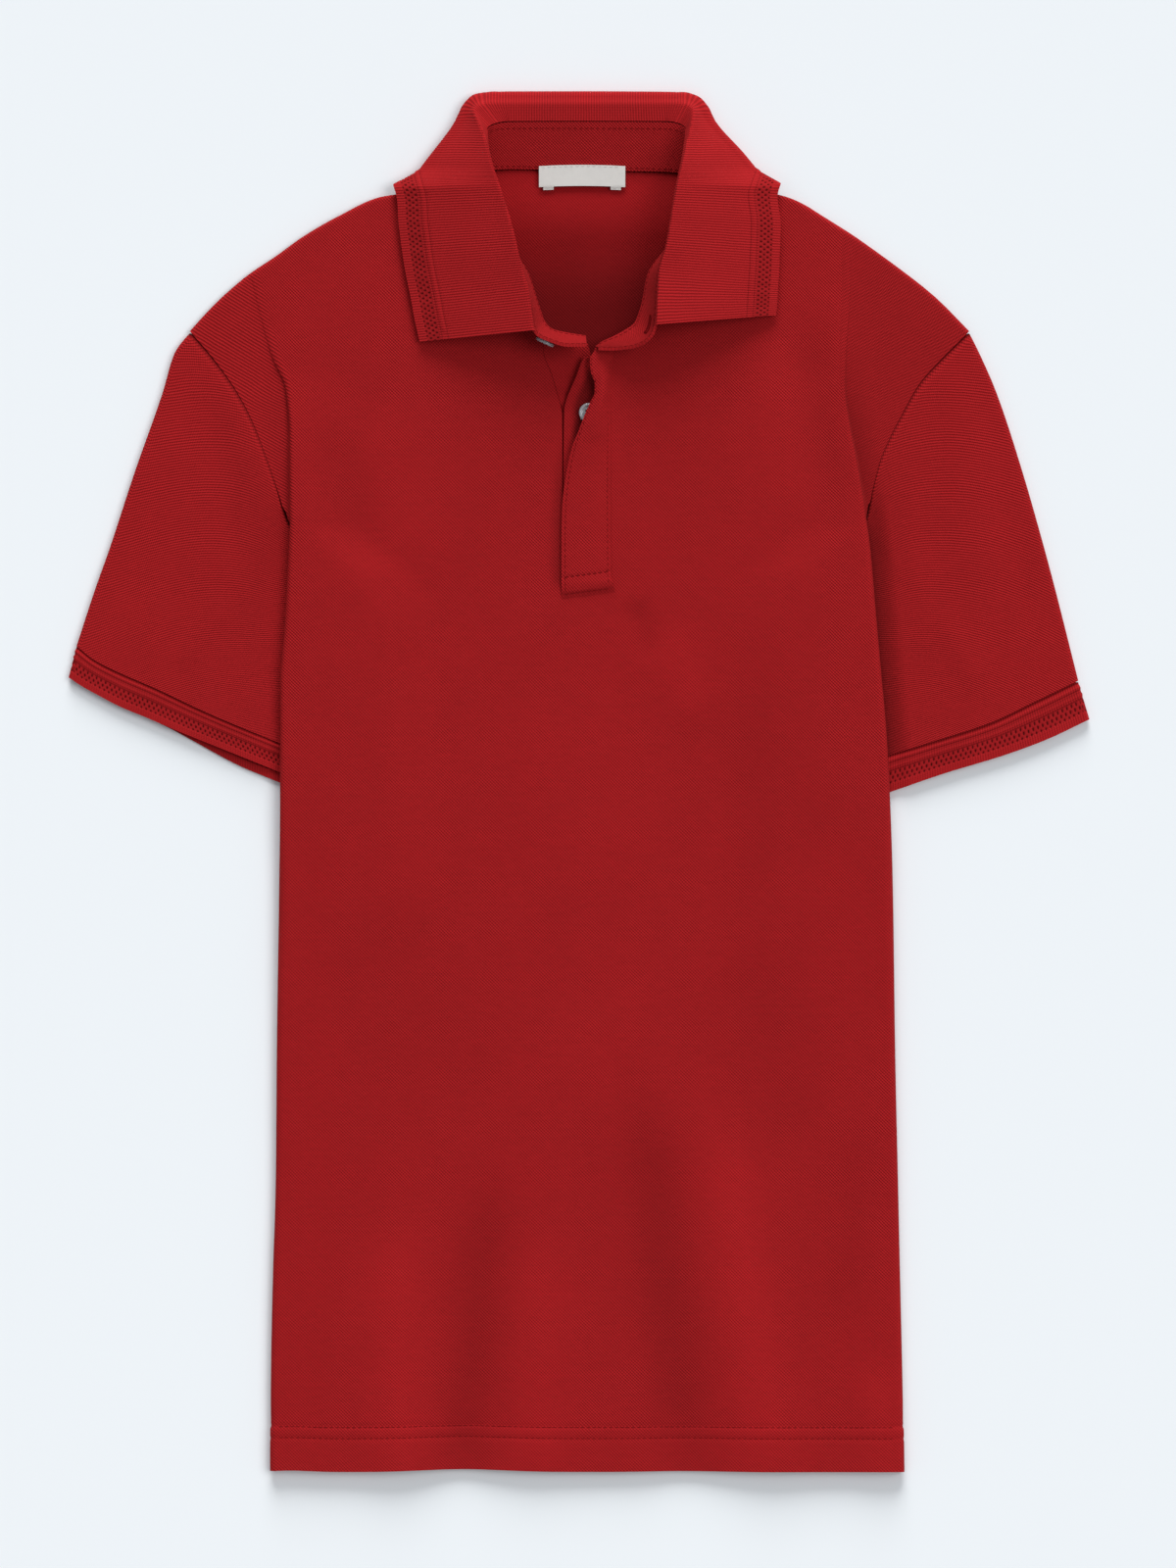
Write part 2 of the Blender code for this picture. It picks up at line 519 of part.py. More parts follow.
def back_top(side, share, edge, shoulder):
    """Top boundary of the back: half the neck, then the shoulder."""
    neck_share = 0.27
    if share < neck_share:
        point = np.array(edge(1 - share / neck_share))
        point = point - np.array([0, STAND_WALL / 2 + SEAM_GAP])
        return point
    start = np.array(edge(0.0)) + np.array([side * 1.5, -1.3])
    local = (share - neck_share) / (1 - neck_share)
    first = shoulder(0.0)
    here = np.array(shoulder(local))
    return here + (start - first) * (1 - smoothstep(local * 8))


def back_panel():
    main = [0, 0.13, 0.25, 0.33, 0.45, 0.58, 0.7, 0.82, 0.93, 1.0]
    turn = [1.25, 1.5, 1.75, 2.0, 3.0]
    top_taus = [0, 0.04, 0.1, 0.2, 0.35, 0.52, 0.7, 0.86, 1.0]
    low_taus = list(1 + np.array([0.012, 0.025, 0.04, 0.055, 0.072, 0.1, 0.18, 0.31,
                                  0.35, 0.39, 0.46, 0.6, 0.75, 0.88, 1.0]))
    kappas = main + turn
    grid = []
    for tau in top_taus + low_taus:
        left = [back_point(-1, tau, k) for k in reversed(kappas[1:])]
        right = [back_point(1, tau, k) for k in kappas]
        grid.append(left + right)
    return wall("back", grid, JERSEY, "pique_red")


# ---------------------------------------------------------------- sleeves and cuffs
SLEEVES = {
    "left": {"side": -1, "head": Path(ARMHOLE_LEFT), "outer": Path(SLEEVE_FOLD_LEFT),
             "seam": Path(CUFF_SEAM_LEFT), "edge": Path(CUFF_EDGE_LEFT),
             "back_drop": CUFF_BACK_DROP_LEFT},
    "right": {"side": 1, "head": Path(ARMHOLE_RIGHT), "outer": Path(SLEEVE_FOLD_RIGHT),
              "seam": Path(CUFF_SEAM_RIGHT), "edge": Path(CUFF_EDGE_RIGHT),
              "back_drop": 0.0},
}
# where the first ring starts: place along the armhole, share of the sleeve's length
SLEEVE_START = ((0, 0.45, 0.55, 0.62, 1), (0.005, 0.005, 0.009, 0.014, 0.014))
SLEEVE_TOP = 3.8
SLEEVE_PUFF = 0.9
SLEEVE_PRESSED = 2.35


def coons(share, across, first, last, near, far):
    """Plan point of a patch between two end curves and two side curves."""
    a, b = np.array(first(across)), np.array(last(across))
    c, d = np.array(near(share)), np.array(far(share))
    corners = ((1 - share) * ((1 - across) * np.array(first(0)) + across * np.array(first(1)))
               + share * ((1 - across) * np.array(last(0)) + across * np.array(last(1))))
    return (1 - share) * a + share * b + (1 - across) * c + across * d - corners


def straight(a, b):
    return lambda share: np.array(a) + (np.array(b) - np.array(a)) * share


def flat_ring(place, side, columns, turn_steps, top, puff, share, back_shift=0.0):
    """Ring of a flattened tube: over the top, round the inner turn, back below."""
    fine = np.array([place(s) for s in np.linspace(0, 1, 33)])
    lengths = np.concatenate([[0], np.cumsum(np.linalg.norm(np.diff(fine, axis=0), axis=1))])
    total = lengths[-1]

    def plan(q):
        return np.array([np.interp(q, lengths, fine[:, 0]),
                         np.interp(q, lengths, fine[:, 1])])

    def height(q):
        x, y = plan(q)
        inside = side * (column(SIDES[side]["fold"], 1, y) - x)
        pressed = smoothstep((inside + 14) / 11)
        if y > 185:
            pressed = 0.0
        elif y > 150:
            pressed = pressed * smoothstep((185 - y) / 35)
        free = top + puff * math.sin(math.pi * min(max(q / total, 0), 1)) ** 0.8
        return free + (SLEEVE_PRESSED - free) * pressed

    points = []
    bottom = FLOOR
    ends = [(height(0) - bottom) / 2, (height(total) - bottom) / 2]
    inset = [ends[0] + share, ends[1] + share]
    for c in columns:
        q = inset[0] + (total - inset[0] - inset[1]) * c
        points.append((*plan(q), height(q)))
    for k in range(1, turn_steps):
        angle = math.pi * k / turn_steps
        q = total - inset[1] + ends[1] * math.sin(angle)
        points.append((*plan(q), bottom + ends[1] * (1 + math.cos(angle))))
    for c in reversed(columns):
        q = inset[0] + (total - inset[0] - inset[1]) * c
        x, y = plan(q)
        points.append((x, y - back_shift * smoothstep((c - 0.35) / 0.4), bottom))
    for k in range(1, turn_steps):
        angle = math.pi * k / turn_steps
        q = inset[0] - ends[0] * math.sin(angle)
        points.append((*plan(q), bottom + ends[0] * (1 - math.cos(angle))))
    return points


def sleeve(name, data):
    inner = straight(data["head"](1), data["seam"](1))
    columns = [0, 0.08, 0.2, 0.33, 0.46, 0.58, 0.7, 0.8, 0.9, 1.0]
    rings = []
    for share in [0, 0.06, 0.14, 0.24, 0.35, 0.46, 0.57, 0.68, 0.79, 0.88, 0.95, 0.997]:
        def place(c, v=share):
            first = float(np.interp(c, *SLEEVE_START))
            return coons(max(v, first), c, data["head"], data["seam"], data["outer"], inner)
        rings.append(flat_ring(place, data["side"], columns, 4, SLEEVE_TOP, SLEEVE_PUFF,
                               JERSEY / 2))
    return wall("sleeve_" + name, rings, JERSEY, "pique_red", ring=True)


def cuff(name, data):
    inner = straight(data["seam"](1), data["edge"](1))
    outer = straight(data["seam"](0), data["edge"](0))
    columns = [0, 0.06, 0.2, 0.34, 0.48, 0.62, 0.76, 0.9, 1.0]
    rings = []
    for share in [0.03, 0.35, 0.68, 1.0]:
        def place(c, v=share):
            return coons(v, c, data["seam"], data["edge"], outer, inner)
        rings.append(flat_ring(place, data["side"], columns, 4, SLEEVE_TOP, 0.5, JERSEY / 2,
                               data["back_drop"] * share))
    return wall("cuff_" + name, rings, JERSEY, "rib_red", ring=True)


# ---------------------------------------------------------------- collar
def stand_point(station, height):
    """station counts along STAND; height 0 at the neck seam, 1 at the top."""
    row = hermite(np.arange(len(STAND)), np.array(STAND, float), station)
    low, top = row[:3], row[3:]
    plan = low[:2] + (top[:2] - low[:2]) * (1 - (1 - height) ** 1.9)
    flat = smoothstep((station - 9.5) / 1.5) * smoothstep((15.5 - station) / 1.5)
    plan_flat = low[:2] + (top[:2] - low[:2]) * height
    plan = plan * (1 - flat) + plan_flat * flat
    return np.array([plan[0], plan[1], low[2] + (top[2] - low[2]) * height])


def collar_stand():
    stations = np.concatenate([np.linspace(0, 3, 8), np.linspace(3.5, 9, 10),
                               np.linspace(9.5, 15.5, 12), np.linspace(16, 22, 11),
                               np.linspace(22.5, 25, 6)])
    grid = [[stand_point(s, h) for h in (0, 0.3, 0.62, 1.0)] for s in stations]
    return wall("collar_stand", grid, STAND_WALL, "pique_red")


SILHOUETTE = Path(LEAF_SILHOUETTE)


def fold_distance(place, heading):
    """Distance along a heading to the line where the leaf turns to the back."""
    line = np.array([SILHOUETTE(s) for s in np.linspace(0, 1, 241)])
    away = line - place
    across = heading[0] * away[:, 1] - heading[1] * away[:, 0]
    along = away @ heading
    best = 400.0
    for k in np.nonzero((across[:-1] * across[1:] <= 0) & (along[:-1] > -2))[0]:
        t = across[k] / (across[k] - across[k + 1] + 1e-12)
        best = min(best, along[k] + (along[k + 1] - along[k]) * t)
    return best


def back_heading(station):
    """Which way the ribs run behind the collar, once the leaf has turned."""
    lean = np.interp(station, [0, 8, 9, 13, 14, 22], [0.24, 0.24, 0, 0, -0.24, -0.24])
    heading = np.array([lean, -1.0])
    return heading / np.linalg.norm(heading)


def leaf_point(station, share):
    """share 0 at the stand, 1 at the outer edge, by length of the knit."""
    row = hermite(np.arange(len(LEAF)), np.array(LEAF, float), station)
    roll, target, width = row[:3], row[3:5], row[5]
    heading = (target - roll[:2]) / np.linalg.norm(target - roll[:2])
    root = leaf_root(station)
    spread = np.linalg.norm(roll - root)
    if share * (width + spread) < spread:
        t = share * (width + spread) / spread
        point = root + (roll - root) * t
        return point
    along = share * (width + spread) - spread
    wrap = float(np.clip(row[6], 0, 1))
    behind = back_heading(station)
    normal = (heading - behind) / np.linalg.norm(heading - behind)
    fold = fold_distance(roll[:2], heading) + LEAF_RELEASE * (1 - wrap)
    facing = float(heading @ normal)
    radius = LEAF_TURN
    level = LEAF_BACK_HEIGHT + 2 * radius
    level = level + (LEAF_EDGE_HEIGHT - level) * (1 - wrap)
    drop = roll[2] - level
    slope_plan = max(min(fold - radius / facing, math.sqrt(width ** 2 - drop ** 2)), 0.5)
    slope_length = math.hypot(slope_plan, drop)
    if along < slope_length:
        t = along / slope_length
        sag = 1 - (1 - t) ** 1.25 if drop > 3 else t
        plan = roll[:2] + heading * slope_plan * t
        return np.array([plan[0], plan[1], roll[2] - drop * (0.75 * t + 0.25 * sag)])
    rest = along - slope_length
    past = rest * facing
    sideways = heading - normal * float(heading @ normal)
    start = roll[:2] + heading * slope_plan
    angle = min(past / radius, math.pi)
    out = radius * math.sin(angle)
    z = level - radius * (1 - math.cos(angle))
    if past > math.pi * radius:
        out -= past - math.pi * radius
    plan = start + normal * out + sideways * rest
    return np.array([plan[0], plan[1], z])


def leaf_root(station):
    """Where the leaf leaves the stand: just past the stand's top edge."""
    match = np.interp(station, [0, 1, 2, 3, 4, 5, 6, 7, 8, 9, 10, 11, 12, 13, 14, 15, 16,
                                17, 18, 19, 20, 21, 22],
                      [3.05, 4.25, 5.6, 7, 8, 8.7, 9.4, 9.9, 10.3, 10.7, 11, 12, 13,
                       13.3, 13.7, 14.1, 14.6, 15.3, 16, 17, 18, 19, 20.95])
    top = stand_point(match, 1.0)
    below = stand_point(match, 0.85)
    along = (top - below) / np.linalg.norm(top - below)
    return top + along * (SEAM_GAP + 0.3)


def collar_leaf():
    stations = np.concatenate([[0], np.linspace(0.6, 4, 6), [4.2, 4.45, 4.75],
                               np.linspace(5.1, 9, 9), np.linspace(10, 12, 3),
                               np.linspace(13, 16.9, 9), [17.25, 17.55, 17.8],
                               np.linspace(18, 21.4, 6), [22]])
    shares = [0, 0.045, 0.1, 0.17, 0.26, 0.38, 0.52, 0.64, 0.75, 0.85, 0.93, 1]
    grid = [[leaf_point(s, h) for h in shares] for s in stations]
    return wall("collar_leaf", grid, RIB, "rib_red")


# ---------------------------------------------------------------- placket, label, buttons
def strip(name, table, rows, columns, foot_rise=0.0, seam=None):
    """A placket layer between its left and right edges, crowned through its middle z.

    seam is the side of the front, -1 or 1, that the layer is sewn to above the foot."""
    data = np.array(table, float)
    grid = []
    for y in rows:
        left, right, z_left, z_middle, z_right = hermite(data[:, 0], data[:, 1:], y)
        if seam and y > PLACKET_FOOT + 0.5:
            sewn = float(column(SIDES[seam]["placket"], 1, y)) - seam * (SEAM_GAP + 0.15)
            left, right = (sewn, right) if seam < 0 else (left, sewn)
        line = []
        for c in columns:
            x = left + (right - left) * c
            z = hermite([0, 0.5, 1], [z_left, z_middle, z_right], c)
            rise = foot_rise * c * (1 - smoothstep((y - data[-1, 0]) / 12))
            line.append((x, y + rise, float(z)))
        grid.append(line)
    return wall(name, grid[::-1], JERSEY, "pique_red")


def placket():
    columns = [0, 0.15, 0.38, 0.62, 0.85, 1.0]
    strip("placket_cover", COVER,
          [110.5, 114, 117.5, 119.5, 134, 149, 163, 176.5, 186, 195, 203.5, 212, 220.5,
           225.5, 231, 237.5, 243, 248.3],
          columns, COVER_FOOT_RISE, seam=1)
    strip("placket_fly", FLY,
          [120, 150, 175, 186.5, 200, 208, 215.5, 222, 229, 236.5, 241, 246], columns)
    strip("placket_under", UNDER,
          [120, 150, 175, 186.5, 200, 208, 215.5, 222, 229, 236.5, 243, 249.5, 254],
          columns, seam=-1)


def button(name, centre, facing):
    """Four-hole button: a dished disc with a rounded rim, turned to its facing."""
    radius, thick = BUTTON["diameter"] / 2, BUTTON["thick"]
    profile = [(0, -thick / 2), (radius * 0.78, -thick / 2), (radius, -thick * 0.1),
               (radius, thick * 0.22), (radius - 0.45, thick / 2),
               (radius - BUTTON["rim"], thick / 2),
               (radius - BUTTON["rim"] - 0.5, thick / 2 - BUTTON["dish"]),
               (0, thick / 2 - BUTTON["dish"])]
    mesh = bmesh.new()
    steps = 20
    rings = []
    for r, z in profile:
        if r == 0:
            rings.append([mesh.verts.new((0, 0, z * MM))])
        else:
            rings.append([mesh.verts.new((r * math.cos(2 * math.pi * k / steps) * MM,
                                          r * math.sin(2 * math.pi * k / steps) * MM,
                                          z * MM)) for k in range(steps)])
    for a, b in zip(rings, rings[1:]):
        for k in range(steps):
            m = (k + 1) % steps
            if len(a) == 1:
                mesh.faces.new([a[0], b[m], b[k]])
            elif len(b) == 1:
                mesh.faces.new([a[k], a[m], b[0]])
            else:
                mesh.faces.new([a[k], a[m], b[m], b[k]])
    item = make(name, mesh, "button_resin")
    for k in range(4):
        angle = math.pi / 4 + k * math.pi / 2
        at = BUTTON["hole_circle"] / 2
        bpy.ops.mesh.primitive_cylinder_add(
            vertices=8, radius=BUTTON["hole"] / 2 * MM, depth=thick * 3 * MM,
            location=(at * math.cos(angle) * MM, at * math.sin(angle) * MM, 0))
        cutter = bpy.context.object
        cutter.name = name + "_hole_" + str(k)
        cutter.hide_render = True
        cutter.display_type = "WIRE"
        cutter.parent = item
        cut = item.modifiers.new("hole", "BOOLEAN")
        cut.operation = "DIFFERENCE"
        cut.solver = "EXACT"
        cut.object = cutter
    item.location = [c * MM for c in np.array(centre) - MIDDLE]
    item.rotation_mode = "QUATERNION"
    item.rotation_quaternion = Vector((0, 0, 1)).rotation_difference(Vector(facing))
    return item


def buttons():
    at = stand_point(STAND_BUTTON_STATION, 0.55)
    ahead = stand_point(STAND_BUTTON_STATION + 0.3, 0.55)
    along = ahead - at
    facing = np.array([along[1], -along[0], 0.0])
    facing = facing / np.linalg.norm(facing)
    if facing[1] > 0:
        facing = -facing
    clear = STAND_WALL / 2 + 1.0 + BUTTON["thick"] / 2
    button("button_stand", at + facing * clear, facing)
    x, y = PLACKET_BUTTON
    button("button_placket", (x, y, 4.35 + JERSEY / 2 + SEAM_GAP + BUTTON["thick"] / 2),
           (0, 0, 1))


def neck_label():
    grid = []
    inset, width = LABEL["tab_inset"], LABEL["tab_width"]
    xs = [LABEL["left"], LABEL["left"] + inset, LABEL["left"] + inset + width, -6, 3, 12,
          LABEL["right"] - inset - width, LABEL["right"] - inset, LABEL["right"]]
    ys = [LABEL["top"], LABEL["top"] - 4, LABEL["bottom"] + 4, LABEL["bottom"],
          LABEL["bottom"] - LABEL["tab_drop"]]
    for y in ys:
        grid.append([(x, y - 0.0012 * (x - 3) ** 2, LABEL["height"]) for x in xs])
    wall("neck_label", grid, LABEL_WALL, "label_satin",
         keep=lambda i, j: i < 3 or j in (1, 6))


for old in list(bpy.data.objects):
    bpy.data.objects.remove(old, do_unlink=True)
MATERIALS = make_materials()
front_panel()
back_panel()
for sleeve_name, sleeve_data in SLEEVES.items():
    sleeve(sleeve_name, sleeve_data)
    cuff(sleeve_name, sleeve_data)
collar_stand()
collar_leaf()
placket()
buttons()
neck_label()
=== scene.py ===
"""Looks of a short-sleeved polo shirt laid flat: fine cloth, stitching, light and camera.

Every table is in millimetres in the part's own plan, as in the part's source; MIDDLE is
what the plan is moved by. Cloth pieces are closed thin walls round a middle surface.
"""
import math

import bmesh
import bpy
import numpy as np
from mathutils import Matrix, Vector


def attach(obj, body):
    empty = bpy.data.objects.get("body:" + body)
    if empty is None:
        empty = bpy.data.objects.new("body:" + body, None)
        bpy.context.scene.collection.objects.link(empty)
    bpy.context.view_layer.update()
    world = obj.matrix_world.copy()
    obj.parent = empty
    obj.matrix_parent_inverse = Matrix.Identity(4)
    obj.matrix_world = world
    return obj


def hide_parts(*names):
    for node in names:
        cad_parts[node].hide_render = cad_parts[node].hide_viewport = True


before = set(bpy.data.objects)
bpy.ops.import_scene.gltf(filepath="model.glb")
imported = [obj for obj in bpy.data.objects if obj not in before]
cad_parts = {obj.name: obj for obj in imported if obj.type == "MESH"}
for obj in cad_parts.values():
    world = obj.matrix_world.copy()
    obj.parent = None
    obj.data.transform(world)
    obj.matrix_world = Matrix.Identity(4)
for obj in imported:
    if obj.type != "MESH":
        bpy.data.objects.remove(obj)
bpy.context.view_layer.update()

MM = 0.001
MIDDLE = (1.2, 0.4, 0.0)   # middle of the whole outline in the tables' own X and Y
SEAM_GAP = 0.3
JERSEY = 1.3          # wall of the body in the solids, which fixes the layers' heights
STAND_WALL = 2.0
LAYER_GAP = 0.4
FLOOR = JERSEY / 2    # middle of a jersey wall that lies on the surface

# --- outlines
SHOULDER_LEFT = [  # x, y from the neck out to the sleeve head
    (-62, 350), (-80, 342.5), (-95, 341.2), (-113.5, 338.6), (-137, 328), (-158, 316),
    (-174, 304.5), (-191, 293), (-204, 282), (-215, 271), (-224, 261)]
SHOULDER_RIGHT = [
    (72, 350), (92, 343), (107, 341.6), (119, 339.4), (130, 335), (141.5, 328), (160.5, 316),
    (177, 304.5), (192, 293), (206, 282), (217, 271), (227, 261)]
ARMHOLE_LEFT = [   # x, y from the shoulder down; the last two points are tucked under
    (-224, 261), (-211.5, 246.5), (-197.5, 227), (-188, 209), (-180, 188.5),
    (-173, 168), (-167, 150), (-147, 126.5), (-121.5, 109.5)]
ARMHOLE_RIGHT = [
    (227, 261), (209.5, 243.5), (198.5, 231), (189, 214.5), (180.5, 198),
    (175, 184.5), (171, 168), (168, 154), (148.5, 129.5), (123.5, 111.5)]
FOLD_LEFT = [      # y, x of the edge where the body's side is folded under
    (283, -181), (241, -173), (226, -167), (201, -166), (165, -166), (135, -167),
    (89, -169.5), (55, -172), (10, -172), (-12, -172), (-58, -172.5), (-160, -174),
    (-228, -174.5), (-296, -176.5), (-364, -177.5), (-400, -177.5)]
FOLD_RIGHT = [
    (283, 149.5), (274, 151), (227, 154), (205, 158), (182, 162.5), (162, 166),
    (135, 170), (101, 173), (67, 176), (27, 179.5), (-12, 181.5), (-58, 183),
    (-160, 184.5), (-228, 186), (-296, 187.5), (-364, 189), (-400, 189.5)]
SLEEVE_FOLD_LEFT = [  # x, y of the sleeve's outer edge, from the shoulder to the cuff
    (-224, 261), (-233, 249), (-240, 226), (-256, 180.5), (-271, 135), (-279, 112.5),
    (-290, 79)]
SLEEVE_FOLD_RIGHT = [
    (227, 261), (233, 249), (243, 226), (258, 180.5), (271, 135), (277, 112.5),
    (290.5, 59)]
CUFF_SEAM_LEFT = [   # x, y from the sleeve's outer edge to its tucked inner edge
    (-290, 79), (-280, 71), (-267.5, 64.5), (-243.5, 54), (-215, 40.5), (-172, 22.5),
    (-151.5, 14)]
CUFF_SEAM_RIGHT = [
    (290.5, 58.5), (266.5, 47), (240, 34.5), (203, 22.5), (180.5, 15.5), (161, 9)]
CUFF_EDGE_LEFT = [
    (-294.5, 61), (-289, 57), (-278.5, 51), (-264, 43.5), (-249.5, 37.5), (-232, 30),
    (-203.5, 18.5), (-171.5, 5.5), (-151.5, -3)]
CUFF_EDGE_RIGHT = [
    (297, 36.5), (271.5, 24.5), (247, 15.5), (212.5, 5), (182, -5.5), (160, -13)]
CUFF_BACK_DROP_LEFT = 6.0    # how far the back of the left cuff shows past its front
HEM_Y = -399.5

# Heights of the middle surfaces along the body's side: y, the front at the fold edge,
# the front's strip or flap below it, the back at the fold edge.
SIDE_LEVELS = [
    (262, 4.2, 3.7, 0.65), (241, 4.6, 3.7, 0.65), (226, 5.8, 3.7, 0.65),
    (203, 7.4, 3.7, 0.65), (170, 9.2, 3.8, 0.65), (162, 9.4, 3.9, 0.7),
    (157, 9.6, 4, 1.4), (150, 9.7, 4.1, 4.2), (141, 9.8, 4.1, 7.7),
    (132, 9.8, 4.1, 7.9), (-20, 9.8, 4.1, 7.9), (-62, 6.4, 0.65, 4.4),
    (-400, 6.2, 0.65, 4.35)]
FLAP_WIDTH = [     # y, cloth of the front that is folded under, measured past the turn
    (150, 0), (146, 2), (140, 8), (132, 17), (118, 32), (90, 45), (-60, 56), (-400, 60)]
BACK_TURN = [      # y, share of the back's half turn, cloth of its own flap
    (148, 0, 0.6), (124, 1, 0.6), (119, 1, 1), (96, 1, 36), (60, 1, 42), (-60, 1, 52),
    (-400, 1, 56)]
BACK_TURN_LENGTH = 3.06
BACK_ARMHOLE_INSET = 0.6
UNDERARM_INSET = 4.8    # the back stays this much further in below the armhole
BACK_LEVEL_Y = 158.0   # below this height the back's rows run straight across
NECK_CENTRE = 5.0
FRONT_LEVELS = [   # y, height of the front's top at the sides; it falls slowly down the body
    (262, 4.2), (241, 4.6), (226, 5.8), (203, 7.4), (170, 9.2), (162, 9.4), (150, 9.7),
    (132, 9.8), (0, 9.6), (-80, 8.6), (-160, 7.2), (-260, 6.4), (-400, 6.2)]
CENTRE_HEIGHT = [(355, 5), (330, 5.4), (262, 6.2), (215, 5.5), (118, 5.4), (-400, 5.2)]
SLOPE_WIDTH = 42.0
PLATEAU_MARGIN = 4.0
EDGE_DROP = 0.8         # how far the raw edge still falls where it hangs straight down
SHOULDER_ROLL = 0.018   # share of the upper rows over which the shoulder edge turns
SHOULDER_ROLL_DEPTH = 2.0
NECK_RISE = 0.125       # share of the shoulder over which its edge leaves the neck edge
BOW_FADE = 1.25         # how soon the rows below the shoulder lose its curve
FULL_TURN_RUN = 5.0     # cloth past the fold that makes the second turn complete
SOFT_TURN = 5.0         # plan width of the turn where the layers lie almost flat
LEAF_LIFT = {   # the back rises over the part of the collar that lies behind it
    "height": 2.0, "bottom": 303, "rise": 22, "half": 112, "side": 20}
BACK_SLOPE_POWER = 1.6  # how fast the back's side slopes reach the surface
ARMHOLE_TOP_Y = 261.0
BACK_NECK_SHARE = 0.27  # of the back's top edge that runs along the neck
BACK_BOW_FADE = 1.2
OUTER_ROWS = [(0, 261), (1, 172), (2, 140), (3, 118), (4, HEM_Y)]  # row value, y outside

# Placket seams with the two halves of the front: y, x
PLACKET_SEAM_LEFT = [(262, -20), (249.5, -19.5), (235.5, -14.5), (221.5, -10.5),
                     (215.5, -8.7), (186.5, -8.5), (118, -8.5)]
PLACKET_SEAM_RIGHT = [(258, 22.5), (226, 19), (186.5, 19.5), (118, 20)]
PLACKET_FOOT = 118.0
# cover layer: y, left x, right x, left z, middle z, right z
COVER = [
    (250.5, 10.5, 22.2, 9.6, 8.6, 6.6), (244.5, 7.5, 20.8, 10.2, 9.4, 6.2),
    (237.5, 8, 20, 10.2, 9.8, 6), (231, 10.3, 19.3, 9.6, 9.8, 6),
    (225.5, 10.3, 18.7, 9.4, 9.8, 6), (220.5, 8, 18.9, 9.2, 9.8, 6),
    (211.5, 4, 18.9, 9, 9.6, 6), (203.5, 1, 19, 8.8, 9, 6),
    (195, -2.5, 19.1, 8.4, 8, 6), (176.5, -6.6, 19.3, 7.7, 7.3, 6),
    (158.5, -8.6, 19.5, 7.3, 7.2, 6), (138.5, -9, 19.6, 7.2, 7.1, 6),
    (119.5, -9, 19.7, 7.2, 7.1, 6.6), (116, -9, 20.5, 7.2, 7.2, 7.2),
    (110.5, -8.8, 21.5, 6.7, 6.8, 6.7), (105.5, -8.6, 22.5, 5.2, 5.2, 5.2)]
COVER_FOOT_RISE = 4.0
# buttonhole layer under the cover
FLY = [
    (251, 8, 13.5, 7.4, 4.8, 4.4), (244.5, 3, 15.5, 7.6, 4.3, 4.2),
    (236.5, 0, 17, 7.4, 4.2, 4.2), (229, -3.2, 17.5, 6.8, 4.1, 4.2),
    (222, -6, 17.5, 6.2, 4.1, 4.2), (215.5, -7.4, 17.5, 5.6, 4.1, 4.2),
    (186.5, -7.7, 17.5, 4.3, 4.2, 4.2), (120, -7.5, 17.5, 4.2, 4.2, 4.2)]
# button side of the placket
UNDER = [
    (257, -17.8, 5.5, 5.9, 4.6, 3.4), (249.5, -19.1, 7.5, 5.8, 4, 2.5),
    (235.5, -14.1, 10, 5.4, 3.2, 2.4), (221.5, -10.1, 13, 4.6, 2.5, 2.4),
    (215.5, -8.2, 14, 3.2, 2.4, 2.4), (186.5, -8.1, 15.5, 2.5, 2.4, 2.4),
    (120, -8.1, 17, 2.4, 2.4, 2.4)]

# --- collar
# Stations along the neck from the wearer's right front (picture left) round the back.
# n: seam with the body. s: top of the stand. All x, y, z.
STAND = [
    (5, 258, 7.2, 5.6, 252.6, 24), (-7, 260, 7.2, -5, 252.4, 26),
    (-14.5, 262, 7.2, -15, 255, 26.5), (-18.8, 266, 7.2, -24, 260, 26.6),
    (-22.8, 276.5, 7.2, -27.6, 276.5, 26.6), (-28.5, 294, 7, -32, 293.5, 26.6),
    (-38.5, 310, 6.8, -35.5, 307, 27), (-48, 325.5, 6.4, -40.5, 325, 26),
    (-55, 340, 5.8, -46.5, 343, 24.6), (-57, 349.5, 5, -51, 362, 20.5),
    (-51, 354.6, 4.2, -52.5, 377, 12.8), (-38, 355.4, 3.7, -39, 382.2, 9),
    (5, 354.6, 3.6, 5, 382.4, 8.4), (52, 353.8, 3.7, 51.5, 382.2, 9),
    (62, 352.6, 4.2, 63.5, 377, 12.8), (68.5, 347, 5, 61.5, 362, 20.5),
    (67, 338, 5.8, 57.5, 343, 24.6), (61, 325.5, 6.4, 54.5, 325, 26),
    (52.5, 310, 6.8, 52, 310, 27), (41.5, 294, 7, 47.6, 293.5, 26.6),
    (37.8, 276.5, 7.6, 46.4, 276.5, 26.6), (33.5, 265.5, 8.2, 45.4, 263.5, 25.5),
    (28, 261.5, 8.6, 41.5, 256, 24), (20.5, 257.5, 9.2, 31, 251.4, 19.5),
    (14.5, 254.8, 10, 20, 250.6, 15), (10.8, 252, 11.4, 12.4, 250.8, 13.2)]
